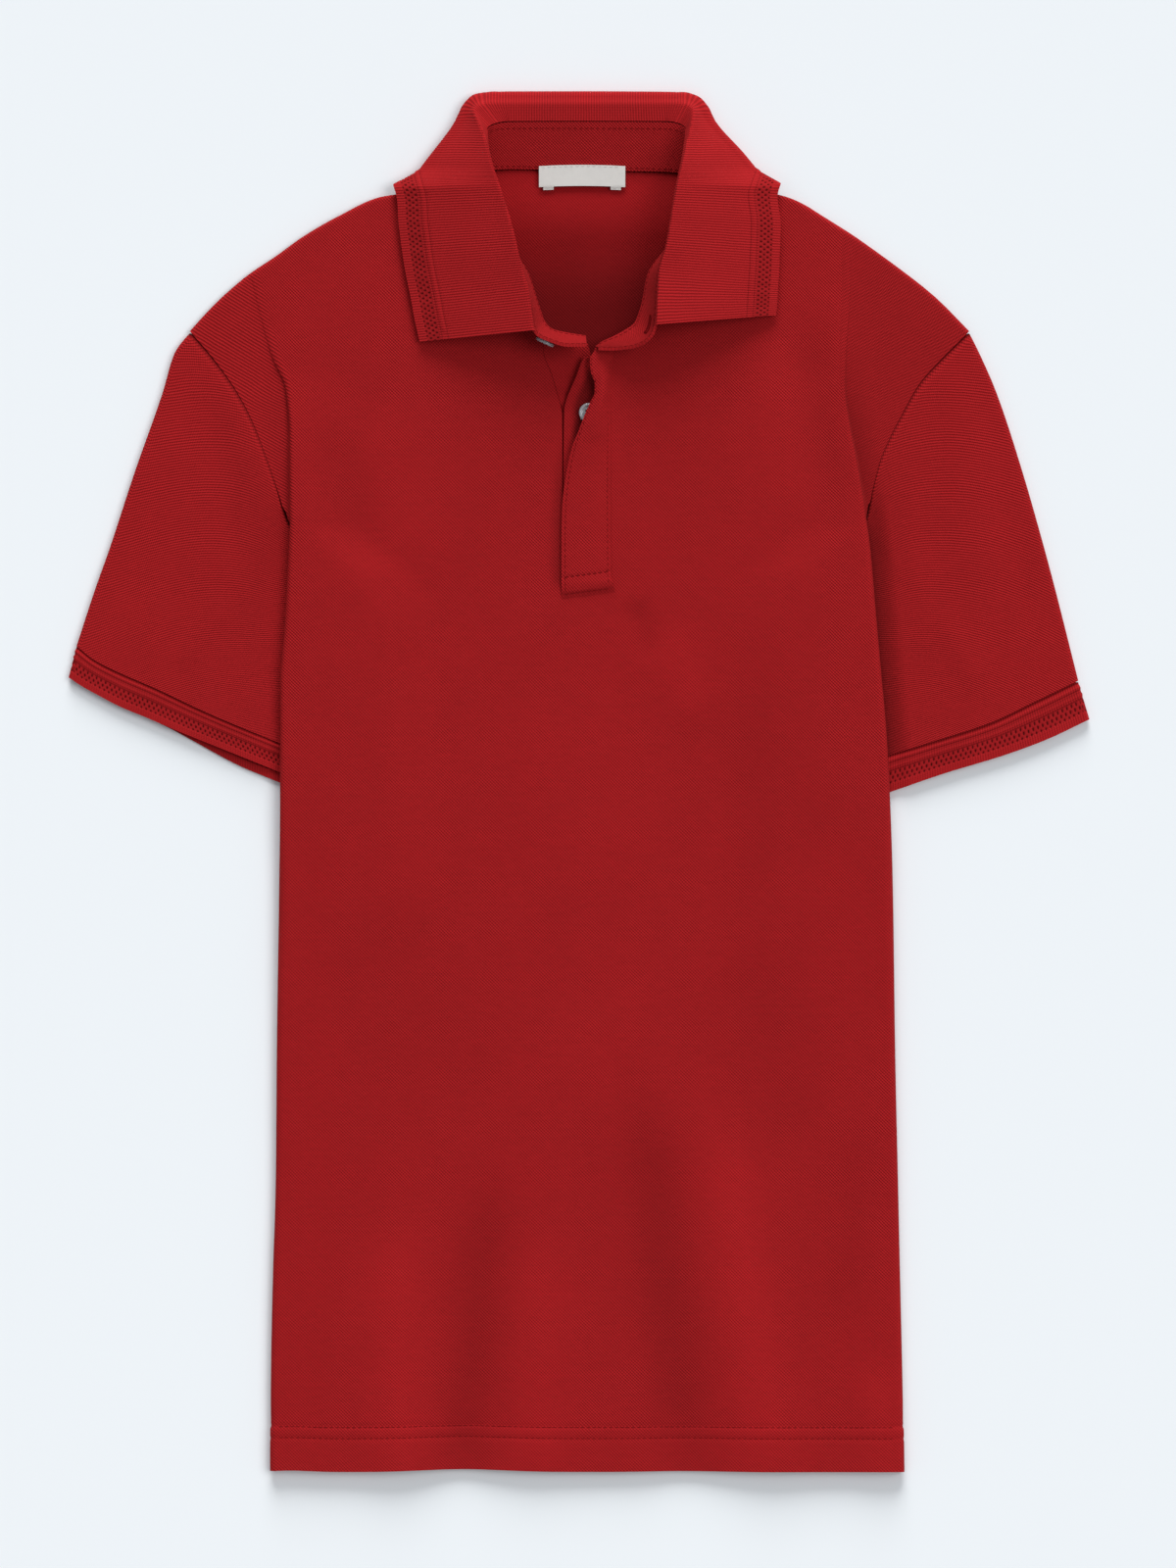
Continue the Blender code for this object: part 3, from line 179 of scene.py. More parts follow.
# Leaf stations: roll x, y, z; x, y that the rib runs towards; width of the knit;
# share of the turn to the back
LEAF = [
    (-25.5, 261, 30, -91.2, 255, 68.8, 0), (-27.8, 281, 30, -92.5, 274, 70.5, 0),
    (-33.3, 302.5, 30, -96.5, 298, 69.5, 0), (-38.5, 324, 29.8, -100.5, 321, 67.5, 0),
    (-44.5, 343, 29.2, -105, 341.5, 63.5, 0), (-48.8, 356, 27, -106, 357, 66, 1),
    (-52.5, 370, 22.5, -106, 371.5, 66, 1), (-56.4, 381, 17.2, -100, 382.5, 66, 1),
    (-59.4, 388.4, 13, -88, 390.4, 66, 1), (-53, 392.7, 10.4, -53.3, 432, 66, 1),
    (-39, 393, 9.6, -39, 440, 66, 1), (5, 393, 9.4, 5, 440, 66, 1),
    (50.5, 393, 9.6, 50.5, 440, 66, 1), (62, 392.5, 10.6, 62.3, 432, 66, 1),
    (67.2, 388, 13.6, 98, 390, 66, 1), (66.5, 381, 17.4, 112, 382.5, 66, 1),
    (64, 370, 22.5, 118, 371.5, 66, 1), (61, 356, 27, 118, 357, 66, 1),
    (58, 343, 29.2, 117, 341.5, 61.5, 0), (55, 326, 29.8, 117, 323, 66, 0),
    (52.5, 310, 30, 117.5, 306, 68, 0), (47.9, 293, 30, 116.5, 289, 71.6, 0),
    (46.5, 264.5, 30, 115.5, 270.5, 71.8, 0)]
LEAF_SILHOUETTE = [   # where the leaf turns over to the back, left to right
    (-130, 319), (-102.5, 344), (-92, 353.5), (-85, 362.5), (-70, 382.5), (-64.5, 393),
    (-59, 398), (-48, 399.5), (5, 399.6), (62, 399.2), (69.5, 397), (74.5, 392),
    (79, 383.5), (95, 365.5), (103, 356), (115, 344), (142, 320)]
LEAF_EDGE_HEIGHT = 9.6
LEAF_BACK_HEIGHT = 0.8
LEAF_TURN = 3.4
LEAF_RELEASE = 8.0      # how much further out a station folds where it is not turned back

BUTTON = {"diameter": 11.4, "thick": 2.2, "rim": 1.5, "dish": 0.45, "hole": 1.7,
          "hole_circle": 3.2}
STAND_BUTTON_STATION = 2.25     # place along STAND, counted in stations
PLACKET_BUTTON = (6.8, 214)
LABEL = {"left": -22, "right": 28, "top": 357.6, "bottom": 345.4, "height": 5.75,
         "tab_width": 6, "tab_drop": 1.8, "tab_inset": 2.5}
UNDER_TOP = 4.35 + JERSEY / 2   # of the button side, where the lower button lies
NECK_STATION = 12       # of the stand, at the middle of the back
BACK_NECK = np.array([NECK_CENTRE, STAND[NECK_STATION][1] - STAND_WALL / 2 - SEAM_GAP])
# for each leaf station: the station of the stand that it stands on
LEAF_FOOT = [3.05, 4.25, 5.6, 7, 8, 8.7, 9.4, 9.9, 10.3, 10.7, 11, 12, 13, 13.3, 13.7, 14.1,
             14.6, 15.3, 16, 17, 18, 19, 20.95]
# stations, and how far sideways the leaf's turned part heads for each unit down
LEAF_LEAN = ([0, 8, 9, 13, 14, 22], [0.24, 0.24, 0, 0, -0.24, -0.24])
NECK_MIDDLE = np.array([NECK_CENTRE, 300.0, 0.0])
BUTTONHOLE = {"first": 20.45, "last": 21.6, "height": 0.52, "half": 0.9, "radius": 0.5}
STITCH = {"length": 2.5, "gap": 0.75, "radius": 0.2, "sink": 0.22, "steps": 5, "sides": 5}
BOX_STITCH = (108.6, 118.6)      # the placket's box of stitches, heights at its left side

# --- creases and small form
CREASES = [  # from x, y to x, y; half width; height, below 0 for a trough
    (-50, -215, -69, -425, 16, -2.6), (-108, -240, -104, -425, 20, 2.0),
    (-22, -250, -26, -425, 20, 1.6), (28, -150, 66, -425, 19, -2.8),
    (78, -170, 112, -425, 20, 2.6), (160, -190, 152, -330, 15, -1.1),
    (172, -330, 178, -420, 14, 1.4), (30, 112, 44, 70, 9, -1.3), (46, 96, 70, 30, 14, 1.0),
    (-150, 215, -120, 120, 18, -1.2), (-125, 225, -92, 120, 20, 1.0),
    (128, 282, 150, 150, 15, -1.4), (108, 262, 128, 140, 20, 1.2),
    (-30, 60, 30, -60, 34, 0.7), (70, 60, 140, -60, 36, -0.6),
    (-120, -60, -60, -200, 34, -0.8), (-20, -120, 60, -220, 34, 0.7),
    (90, -90, 130, -220, 34, -0.6)]
SLEEVE_CREASES = [
    (-212, 236, -196, 120, 9, -0.9), (-232, 224, -222, 110, 12, 0.6),
    (-250, 190, -262, 96, 12, -0.6), (-198, 110, -232, 66, 9, 0.7),
    (212, 236, 200, 120, 9, -0.9), (232, 224, 226, 110, 12, 0.6),
    (250, 180, 264, 86, 12, -0.6), (204, 104, 236, 52, 9, 0.7)]
PLACKET_SHADE = 0.34   # painted shadow on the front's cloth that lies along the placket's open edge
FLY_SHADE = 0.55       # painted shade on the fly where it goes under the cover
CREASE_SHADE = 0.055   # painted light and shade of the creases: how much lighter the cloth is for each mm that a crease rises
RIPPLE = 0.12         # of the whole cloth, at random over the plan
HEM_WAVES = [(-66, 36, 1.6), (62, 30, 0.5), (-166, 16, 0.9)]   # x, half width, rise
HEM_WAVE_TOP = -330.0   # above it the cloth lies straight
FOLD_SHADE = {-1: 0.10, 1: 0.26}   # painted shade on the front past its folds, left and right
HEM_STITCHES = (-373.2, -380.4)
HEM_FOLD = -373.0
HEM_STEP = 0.35
GROOVE_DEPTH = 0.34
GROOVE_HALF = 1.0
HEAD_DIP = 2.0        # the sleeve starts this much lower, under the body's edge
HEAD_DIP_SHARE = 0.02
LIP = 0.012           # how far under, as a share of the sleeve
SIDE_SHADE = 17.0     # how far the painted shadow of the body's side reaches over the sleeve that lies beside it
SIDE_DEEPEST = 0.52
CUFF_WIDTH = 17.0     # from the sleeve seam to the open edge
CUFF_BAND = (3.6, 9.8)      # the openwork band, measured from the open edge
CUFF_RIDGES = (11.6, 14.2)
HOLE_PITCH = 2.95     # of the openwork, along the edge
HOLE_ROWS = 4.3       # twice the distance between its staggered rows
HOLE_DEPTH = 0.55
RIDGE_HEIGHT = 0.3
RIDGE_GAP_DEPTH = 0.22
LEAF_BAND = (4.6, 13.2)      # openwork, measured from the leaf's outer edge
LEAF_RIDGES = (15.9,)
LEAF_BAND_END = 4.5          # plain knit before the leaf's front end


# --- curves
def hermite(keys, values, at):
    """Smooth interpolation through a table, without overshoot; values may be rows."""
    keys, values = np.asarray(keys, float), np.asarray(values, float)
    if keys[0] > keys[-1]:
        keys, values = keys[::-1], values[::-1]
    at = np.clip(np.asarray(at, float), keys[0], keys[-1])
    step = np.diff(keys)
    spare = (..., *(None,) * (values.ndim - 1))
    slope = np.diff(values, axis=0) / step[spare]
    before, after = slope[:-1], slope[1:]
    same = before * after > 0
    inner = np.where(same, 2 * after * before / np.where(same, after + before, 1), 0)
    tangent = np.concatenate([slope[:1], inner, slope[-1:]])
    i = np.clip(np.searchsorted(keys, at, side="right") - 1, 0, len(step) - 1)
    t, h = ((at - keys[i]) / step[i])[spare], step[i][spare]
    return ((1 + 2 * t) * (1 - t) ** 2 * values[i] + t * (1 - t) ** 2 * h * tangent[i]
            + t * t * (3 - 2 * t) * values[i + 1] + t * t * (t - 1) * h * tangent[i + 1])


def column(table, at, key=1):
    """One column of a table whose first column is y."""
    rows = np.array(table, float)
    return hermite(rows[:, 0], rows[:, key], at)


def unit(vector):
    return vector / np.linalg.norm(vector)


def arc(points):
    """Length along a row of points, from its first."""
    return np.append(0, np.cumsum(np.linalg.norm(np.diff(points, axis=0), axis=1)))


class Path:
    """A smooth plan curve through points, asked by the share of its length."""

    def __init__(self, points):
        self.points = np.array(points, float)
        along = arc(self.points)
        self.length = along[-1]
        self.at = along / self.length

    def __call__(self, share):
        return hermite(self.at, self.points, share)

    def at_y(self, y):
        return self(np.interp(-y, -self.points[:, 1], self.at))


def ease(x):
    """0 up to 0, 1 from 1 on, and smooth between."""
    x = np.clip(x, 0, 1)
    return x * x * (3 - 2 * x)


def bell(distance, half):
    return np.exp(-(distance / half) ** 2)


# --- body
SIDES = {side: {"shoulder": Path(shoulder), "armhole": Path(armhole), "fold": fold,
                "placket": seam, "crossing": crossing, "neck": stations}
         for side, shoulder, armhole, fold, seam, crossing, stations in (
             (-1, SHOULDER_LEFT, ARMHOLE_LEFT, FOLD_LEFT, PLACKET_SEAM_LEFT, 150, (8, 3)),
             (1, SHOULDER_RIGHT, ARMHOLE_RIGHT, FOLD_RIGHT, PLACKET_SEAM_RIGHT, 152, (16, 22)))}
STAND_OUT = STAND_WALL / 2 + SEAM_GAP


def past_fold(side, x, y):
    """How far outside the edge where the body's side is folded under."""
    return side * (x - column(SIDES[side]["fold"], y))


def side_height(x, y):
    """How much the sides raise the cloth: 1 on their plateaus, 0 in the middle."""
    plateau = column(FLAP_WIDTH, y) + PLATEAU_MARGIN
    return np.maximum(*[1 - ease((-past_fold(side, x, y) - plateau) / SLOPE_WIDTH)
                        for side in (-1, 1)])


def front_height(x, y):
    """Middle of the front panel over the plan, away from its side turns."""
    centre = column(CENTRE_HEIGHT, y)
    return centre + (column(FRONT_LEVELS, y) - centre) * side_height(x, y)


def back_height(x, y):
    """Middle of the back panel: under the front, and on the surface where it can be."""
    lift = (LEAF_LIFT["height"] * ease((y - LEAF_LIFT["bottom"]) / LEAF_LIFT["rise"])
            * (1 - ease((abs(x - NECK_CENTRE) - LEAF_LIFT["half"]) / LEAF_LIFT["side"])))
    level = column(SIDE_LEVELS, y, 3)
    return FLOOR + np.maximum(lift, (level - FLOOR) * side_height(x, y) ** BACK_SLOPE_POWER)


def stations_between(first, last):
    """Plan curve of the neck seam, from one station of the stand to another."""
    step = 1 if last > first else -1
    return Path([STAND[i][:2] for i in range(first, last + step, step)])


def neck_edge(side, share):
    """The front's neck edge, from the shoulder to the placket, outside the stand."""
    seam = stations_between(*SIDES[side]["neck"])
    along = unit(seam(min(share + 0.02, 1)) - seam(max(share - 0.02, 0)))
    return seam(share) + np.array([along[1], -along[0]]) * -side * STAND_OUT


def inner_edge(side, tau):
    """Point of the front's inner boundary at row value tau."""
    if tau <= 1:
        return neck_edge(side, tau)
    if tau <= 3:
        top = neck_edge(side, 1.0)[1]
        y = top + (PLACKET_FOOT - top) * (tau - 1) / 2
    else:
        y = PLACKET_FOOT + (HEM_Y - PLACKET_FOOT) * (tau - 3)
    return np.array([column(SIDES[side]["placket"], max(y, PLACKET_FOOT)), y])


def row_section(side, tau):
    """What fixes one row of the front: its plan line, and the cloth past the fold."""
    data = SIDES[side]
    y = np.interp(tau, *np.transpose(OUTER_ROWS))
    start = inner_edge(side, tau)
    crosses = y > data["crossing"]
    end = data["armhole"].at_y(y) if crosses else np.array([column(data["fold"], y), y])
    direction = unit(end - start)
    fold_y = y
    for _ in range(6):
        reach = (column(data["fold"], fold_y) - start[0]) / direction[0]
        fold_y = start[1] + direction[1] * reach
    return start, direction, reach, (np.linalg.norm(end - start) - reach) * crosses, y


def front_point(side, tau, kappa):
    """kappa: 0-1 main cloth, 1-2 first turn, 2-3 second turn, 3-4 strip or flap."""
    start, direction, reach, strip, y = row_section(side, tau)
    level, low = column(FRONT_LEVELS, y), column(SIDE_LEVELS, y, 2)
    flap = column(FLAP_WIDTH, y) if y < SIDES[side]["crossing"] else 0.0
    run = strip if strip > 0 else -flap
    half = (level - low) / 2
    soft = max(half, SOFT_TURN * (1 - ease((half - 0.8) / 1.8)))
    reach = reach - JERSEY / 2 * ease(1 - run / FULL_TURN_RUN)
    edge_room = min(soft, reach * 0.5)
    turn = -math.pi / 2 * np.clip(run / FULL_TURN_RUN, -1, 1)
    whole = reach + max(strip, 0)
    if kappa <= 1:
        q = (reach - edge_room) * kappa
        plan = start + direction * q + bow(side, tau, q / whole)
        z = front_height(*plan)
        at_turn = front_height(*(start + direction * (reach - edge_room)))
        return np.array([*plan, z + (level - at_turn) * ease(kappa * 4 - 3)])
    first = min(kappa - 1, 1) * math.pi / 2
    q = reach - edge_room + edge_room * math.sin(first)
    z = level - half * (1 - math.cos(first))
    if kappa > 2:
        part = min(kappa - 2, 1)
        second = part * turn
        width = edge_room if turn < 0 else half
        full = max(abs(math.sin(turn)), 0.05)
        q += -math.copysign(1, turn) * width * (1 - math.cos(second)) / full
        z -= ((half - EDGE_DROP * math.cos(turn))
              * (abs(math.sin(second)) / full if abs(turn) > 0.06 else part))
    if kappa > 3:
        span = max(abs(run) - (width if run > 0 else 0), 0.8)
        q += -math.sin(turn) * span * (kappa - 3)
        z -= math.cos(turn) * EDGE_DROP * (kappa - 3)
    return np.array([*start + direction * q + bow(side, tau, min(q / whole, 1)), z])


def bow(side, tau, share):
    """The shoulder line is curved: rows near it keep its bow, fading down the row.

    Beside the neck they rise from the neck edge to the shoulder line."""
    if tau >= 1:
        return np.zeros(2)
    shoulder = SIDES[side]["shoulder"]
    first, last = shoulder.points[0], shoulder.points[-1]
    rise = (first - neck_edge(side, 0.0)) * (1 - share) * ease(share / NECK_RISE)
    chord = first + (last - first) * share
    return (shoulder(share) - chord + rise) * (1 - ease(tau * BOW_FADE))


def rolled_front_point(side, tau, kappa):
    """The front's edge at the shoulder seam turns down onto the back's edge."""
    point = front_point(side, tau, kappa)
    near = 1 - min(tau / SHOULDER_ROLL, 1)
    room = point[2] - back_height(*point[:2]) - JERSEY - LAYER_GAP
    depth = min(max(room, 0), SHOULDER_ROLL_DEPTH)
    point[2] -= depth * (1 - math.sqrt(1 - near * near))
    return point


def back_point(side, tau, kappa):
    """kappa: 0-1 main cloth from the centre line, 1-2 the turn, 2-3 the flap."""
    data = SIDES[side]
    if tau <= 1:
        y = ARMHOLE_TOP_Y + (BACK_LEVEL_Y - ARMHOLE_TOP_Y) * tau
        out = data["armhole"].at_y(y)
        start = BACK_NECK + (np.array([NECK_CENTRE, BACK_LEVEL_Y]) - BACK_NECK) * tau
        inset = SEAM_GAP + BACK_ARMHOLE_INSET
    else:
        y = BACK_LEVEL_Y + (HEM_Y - BACK_LEVEL_Y) * (tau - 1)
        out, start = np.array([column(data["fold"], y), y]), np.array([NECK_CENTRE, y])
        inset = (JERSEY * 1.5 + LAYER_GAP + 0.1 + UNDERARM_INSET * ease((y - 122) / 14)) \
            * ease((BACK_LEVEL_Y - y) / 7)
    level = column(SIDE_LEVELS, y, 3)
    angle = math.pi * column(BACK_TURN, y) + 1e-4
    direction = unit(out - start)
    radius = BACK_TURN_LENGTH / angle
    overhang = radius * math.sin(min(angle, math.pi / 2))
    reach = np.linalg.norm(out - start) - inset - overhang
    curve = back_bow(side, min(kappa, 1)) * (1 - ease(tau * BACK_BOW_FADE)) if tau < 1 else 0
    if kappa <= 1:
        plan = start + direction * reach * kappa + curve
        z = back_height(*plan)
        z += (level - z) * ease(kappa * 5 - 4) if y < BACK_LEVEL_Y + 4 else 0.0
        return np.array([*plan, z])
    turned = angle * min(kappa - 1, 1)
    q = reach + radius * math.sin(turned)
    z = level - radius * (1 - math.cos(turned))
    if kappa > 2:
        flap = column(BACK_TURN, y, 2) * (kappa - 2)
        q += math.cos(turned) * flap
        z -= math.sin(turned) * flap
    plan = start + direction * q + curve
    return np.array([*plan, max(z, back_height(*plan)) if tau < 1 else z])


def back_bow(side, share):
    """How far the back's top edge lies from the straight line to the sleeve head."""
    shoulder = SIDES[side]["shoulder"]
    line = BACK_NECK + (shoulder.points[-1] - BACK_NECK) * share
    edge = stations_between(SIDES[side]["neck"][0], NECK_STATION)
    if share < BACK_NECK_SHARE:
        return edge(1 - share / BACK_NECK_SHARE) - (0, STAND_OUT) - line
    start = edge(0.0) + (side * 1.5, -1.3)
    local = (share - BACK_NECK_SHARE) / (1 - BACK_NECK_SHARE)
    return shoulder(local) + (start - shoulder(0.0)) * (1 - ease(local * 8)) - line


# --- sleeves and cuffs
SLEEVES = {
    "left": {"side": -1, "head": Path(ARMHOLE_LEFT), "outer": Path(SLEEVE_FOLD_LEFT),
             "seam": Path(CUFF_SEAM_LEFT), "edge": Path(CUFF_EDGE_LEFT),
             "back_drop": CUFF_BACK_DROP_LEFT},
    "right": {"side": 1, "head": Path(ARMHOLE_RIGHT), "outer": Path(SLEEVE_FOLD_RIGHT),
              "seam": Path(CUFF_SEAM_RIGHT), "edge": Path(CUFF_EDGE_RIGHT),
              "back_drop": 0.0},
}
# where the first ring starts: place along the armhole, share of the sleeve's length
SLEEVE_START = ((0, 0.45, 0.55, 0.62, 1), (0.005, 0.005, 0.009, 0.014, 0.014))
SLEEVE_TOP = 3.8
SLEEVE_PUFF = 0.9
SLEEVE_PRESSED = 2.35


def coons(share, across, first, last, near, far):
    """Plan points of a patch between two end curves and two side curves."""
    share = np.full(np.shape(across), share)
    s, along = share[:, None], across[:, None]
    corners = ((1 - s) * ((1 - along) * first(0) + along * first(1))
               + s * ((1 - along) * last(0) + along * last(1)))
    return ((1 - s) * first(across) + s * last(across)
            + (1 - along) * near(share) + along * far(share) - corners)


def straight(a, b):
    return lambda share: a + (b - a) * share[:, None]


# --- collar
def stand_point(station, height):
    """station counts along STAND; height 0 at the neck seam, 1 at the top."""
    row = hermite(np.arange(len(STAND)), STAND, station)
    low, top = row[:3], row[3:]
    flat = ease((station - 9.5) / 1.5) * ease((15.5 - station) / 1.5)
    rise = (1 - (1 - height) ** 1.9) * (1 - flat) + height * flat
    return np.array([*low[:2] + (top - low)[:2] * rise, low[2] + (top[2] - low[2]) * height])


FOLD_LINE = Path(LEAF_SILHOUETTE)(np.linspace(0, 1, 481))


def fold_distance(place, heading):
    """Distance along a heading to the line where the leaf turns to the back."""
    away = FOLD_LINE - place
    across = heading[0] * away[:, 1] - heading[1] * away[:, 0]
    along = away @ heading
    best = 400.0
    for k in np.nonzero((across[:-1] * across[1:] <= 0) & (along[:-1] > -2))[0]:
        t = across[k] / (across[k] - across[k + 1] + 1e-12)
        best = min(best, along[k] + (along[k + 1] - along[k]) * t)
    return best


def leaf_section(station, shares):
    """Points of the leaf at a station; share 0 at the stand, 1 at the outer edge."""
    row = hermite(np.arange(len(LEAF)), LEAF, station)
    roll, target, width, wrap = row[:3], row[3:5], row[5], np.clip(row[6], 0, 1)
    top, below = (stand_point(np.interp(station, np.arange(len(LEAF)), LEAF_FOOT), height)
                  for height in (1.0, 0.85))
    root = top + unit(top - below) * (SEAM_GAP + 0.3)
    heading = unit(target - roll[:2])
    spread_by = np.linalg.norm(roll - root)
    behind = unit(np.array([np.interp(station, *LEAF_LEAN), -1.0]))
    normal = unit(heading - behind)
    facing = heading @ normal
    fold = fold_distance(roll[:2], heading) + LEAF_RELEASE * (1 - wrap)
    level = LEAF_BACK_HEIGHT + 2 * LEAF_TURN
    level += (LEAF_EDGE_HEIGHT - level) * (1 - wrap)
    drop = roll[2] - level
    slope_plan = max(min(fold - LEAF_TURN / facing, math.sqrt(width ** 2 - drop ** 2)), 0.5)
    slope_length = math.hypot(slope_plan, drop)
    points = []
    for share in shares:
        along = share * (width + spread_by) - spread_by
        t = along / slope_length
        if along < 0:
            points.append(root + (roll - root) * (1 + along / spread_by))
        elif t < 1:
            sag = 1 - (1 - t) ** 1.25 if drop > 3 else t
            plan = roll[:2] + heading * slope_plan * t
            points.append((*plan, roll[2] - drop * (0.75 * t + 0.25 * sag)))
        else:
            rest = along - slope_length
            angle = min(rest * facing / LEAF_TURN, math.pi)
            out = (LEAF_TURN * math.sin(angle)
                   - max(rest * facing - math.pi * LEAF_TURN, 0))
            plan = (roll[:2] + heading * slope_plan + normal * out
                    + (heading - normal * facing) * rest)
            points.append((*plan, level - LEAF_TURN * (1 - math.cos(angle))))
    return points


# --- meshes
WALLS = {"body": 1.15, "rib": 1.35, "stand": 1.7, "label": 0.5}


def face_normals(grid, keep, ring=False):
    """Unit normals at the points of a grid, from the quads that are kept."""
    beside = np.roll(grid, -1, axis=1) if ring else grid[:, 1:]
    here = grid if ring else grid[:, :-1]
    face = np.cross(beside[1:] - here[:-1], here[1:] - beside[:-1])
    size = np.linalg.norm(face, axis=2, keepdims=True)
    face = face / np.sqrt(np.where(size > 0, size, 1)) * keep[..., None]
    normal = np.zeros_like(grid)
    for rows in (slice(None, -1), slice(1, None)):
        if ring:
            normal[rows] += face + np.roll(face, 1, axis=1)
        else:
            normal[rows, :-1] += face
            normal[rows, 1:] += face
    length = np.linalg.norm(normal, axis=2, keepdims=True)
    return normal / np.where(length > 0, length, 1)


def placed(name, data, material):
    """An object in the scene for a mesh."""
    data.materials.append(material)
    item = bpy.data.objects.new(name, data)
    bpy.context.collection.objects.link(item)
    return item


def wall(name, grid, cloth, thickness, material, keep=None, ring=False, outer=0.0,
         facing=1, under=None, tone=None):
    """A closed thin wall round a grid of points; cloth holds each point's u, v in mm.

    facing is -1 where the grid's normals point down. outer moves the upper side out by a
    further relief, given for each point; under is the material of the lower side; tone is
    the painted light and shade of the upper side's cloth at each point."""
    grid = np.asarray(grid, float) - MIDDLE
    rows, cols = grid.shape[:2]
    count = rows * cols
    kept = np.ones((rows - 1, cols if ring else cols - 1), bool) if keep is None else keep
    normal = facing * face_normals(grid, kept.astype(float), ring)
    top = grid + normal * (np.zeros((rows, cols)) + thickness / 2 + outer)[..., None]
    low = grid - normal * thickness / 2
    i, j = np.nonzero(kept)
    right = (j + 1) % cols
    quad = np.stack([i * cols + j, i * cols + right, (i + 1) * cols + right,
                     (i + 1) * cols + j], axis=1)
    cloth = np.asarray(cloth, float)
    if cloth.shape[1] == cols:
        cloth = np.concatenate([cloth, cloth[:, :1]], axis=1)
    place = np.stack([cloth[i, j], cloth[i, j + 1], cloth[i + 1, j + 1], cloth[i + 1, j]],
                     axis=1)
    sides = [[k, (k + 1) % 4] for k in range(4)]
    edges = np.concatenate([quad[:, side] for side in sides])
    ends = np.concatenate([place[:, side] for side in sides])
    rim = ~np.isin(edges[:, 0] * count + edges[:, 1], edges[:, 1] * count + edges[:, 0])
    a, b = edges[rim].T
    used, faces = np.unique(np.concatenate(
        [quad, quad[:, ::-1] + count, np.stack([b, a, a + count, b + count], axis=1)]),
        return_inverse=True)
    places = np.concatenate([place, place[:, ::-1], ends[rim][:, [1, 0, 0, 1]]]) * MM
    points = np.concatenate([top.reshape(-1, 3), low.reshape(-1, 3)]) * MM
    data = bpy.data.meshes.new(name)
    data.from_pydata(points[used].tolist(), [], faces.reshape(-1, 4).tolist())
    layer = data.uv_layers.new(name="cloth")
    layer.data.foreach_set("uv", places.reshape(-1).astype(np.float32))
    mesh = bmesh.new()
    mesh.from_mesh(data)
    bmesh.ops.recalc_face_normals(mesh, faces=mesh.faces)
    mesh.to_mesh(data)
    mesh.free()
    if tone is not None:
        tones = np.concatenate([np.ravel(tone), np.ones(count)])[used]
        data.attributes.new("tone", "FLOAT", "POINT").data.foreach_set(
            "value", tones.astype(np.float32))
    data.shade_smooth()
    data.set_sharp_from_angle(angle=math.radians(55))
    item = placed(name, data, material)
    if under:
        data.materials.append(under)
        slots = (np.arange(len(data.polygons)) >= len(quad)).astype(np.int32)
        data.polygons.foreach_set("material_index", slots)
    return item


def spread(stops, counts):
    """Values from stop to stop, each stretch cut into its count of equal steps."""
    parts = [np.linspace(a, b, n, endpoint=False)
             for a, b, n in zip(stops, stops[1:], counts)]
    return np.concatenate(parts + [[stops[-1]]])


def two_halves(point, rows, fine_rows, columns, fine_columns, shared=0):
    """A panel worked out on a coarse grid and brought to a fine one, left half first.

    shared is 1 where both halves start with the same column."""
    halves = []
    for side in (-1, 1):
        half = np.array([[point(side, tau, kappa) for kappa in columns] for tau in rows])
        half = np.moveaxis(hermite(columns, np.moveaxis(half, 1, 0), fine_columns), 0, 1)
        half = hermite(rows, half, fine_rows)
        halves.append(half[:, shared:][:, ::-1] if side < 0 else half)
    return np.concatenate(halves, axis=1)


# --- creases
def crease(table, x, y):
    """Height that the soft troughs and ridges of a table add at points of the plan."""
    total = np.zeros_like(x, dtype=float)
    for x0, y0, x1, y1, half, height in table:
        length = math.hypot(x1 - x0, y1 - y0)
        ahead, aside = (x1 - x0) / length, (y1 - y0) / length
        t = (x - x0) * ahead + (y - y0) * aside
        away = (x - x0) * aside - (y - y0) * ahead
        past = np.maximum(np.maximum(-t, t - length), 0)
        ends = ease(t / length * 3) * ease((length - t) / length * 3 + 0.25)
        total += height * ends * bell(away, half) * bell(past, half)
    return total


def hem_wave(grid):
    """The hem is not quite straight: it rises a little where the cloth dips."""
    x, y = grid[..., 0], grid[..., 1]
    rise = sum(height * bell(x - place, half) for place, half, height in HEM_WAVES)
    grid[..., 1] = y + rise * ease((HEM_WAVE_TOP - y) / 70)


def ripple(x, y):
    """Small slow waves, so that no panel is quite flat."""
    return RIPPLE * (np.sin(x / 17.0 + 1.3 * np.sin(y / 41.0)) * np.sin(y / 23.0 + 0.6)
                     + 0.6 * np.sin(x / 9.0 - y / 31.0) * np.sin(y / 12.0 + x / 37.0))


# --- front and back
def cloth_of(grid, share):
    """Cloth places of a panel: its plan, and past the fold the length round the turn."""
    cloth = grid[..., :2].copy()
    count = len(share)
    for side in (-1, 1):
        cols = [c for c in range(count)[::side] if share[c] >= 1 and side * (c * 2 - count) > 0]
        for a, b in zip(cols, cols[1:]):
            cloth[:, b, 0] = cloth[:, a, 0] + side * np.linalg.norm(
                grid[:, b] - grid[:, a], axis=1)
            cloth[:, b, 1] = cloth[:, a, 1]
    return cloth


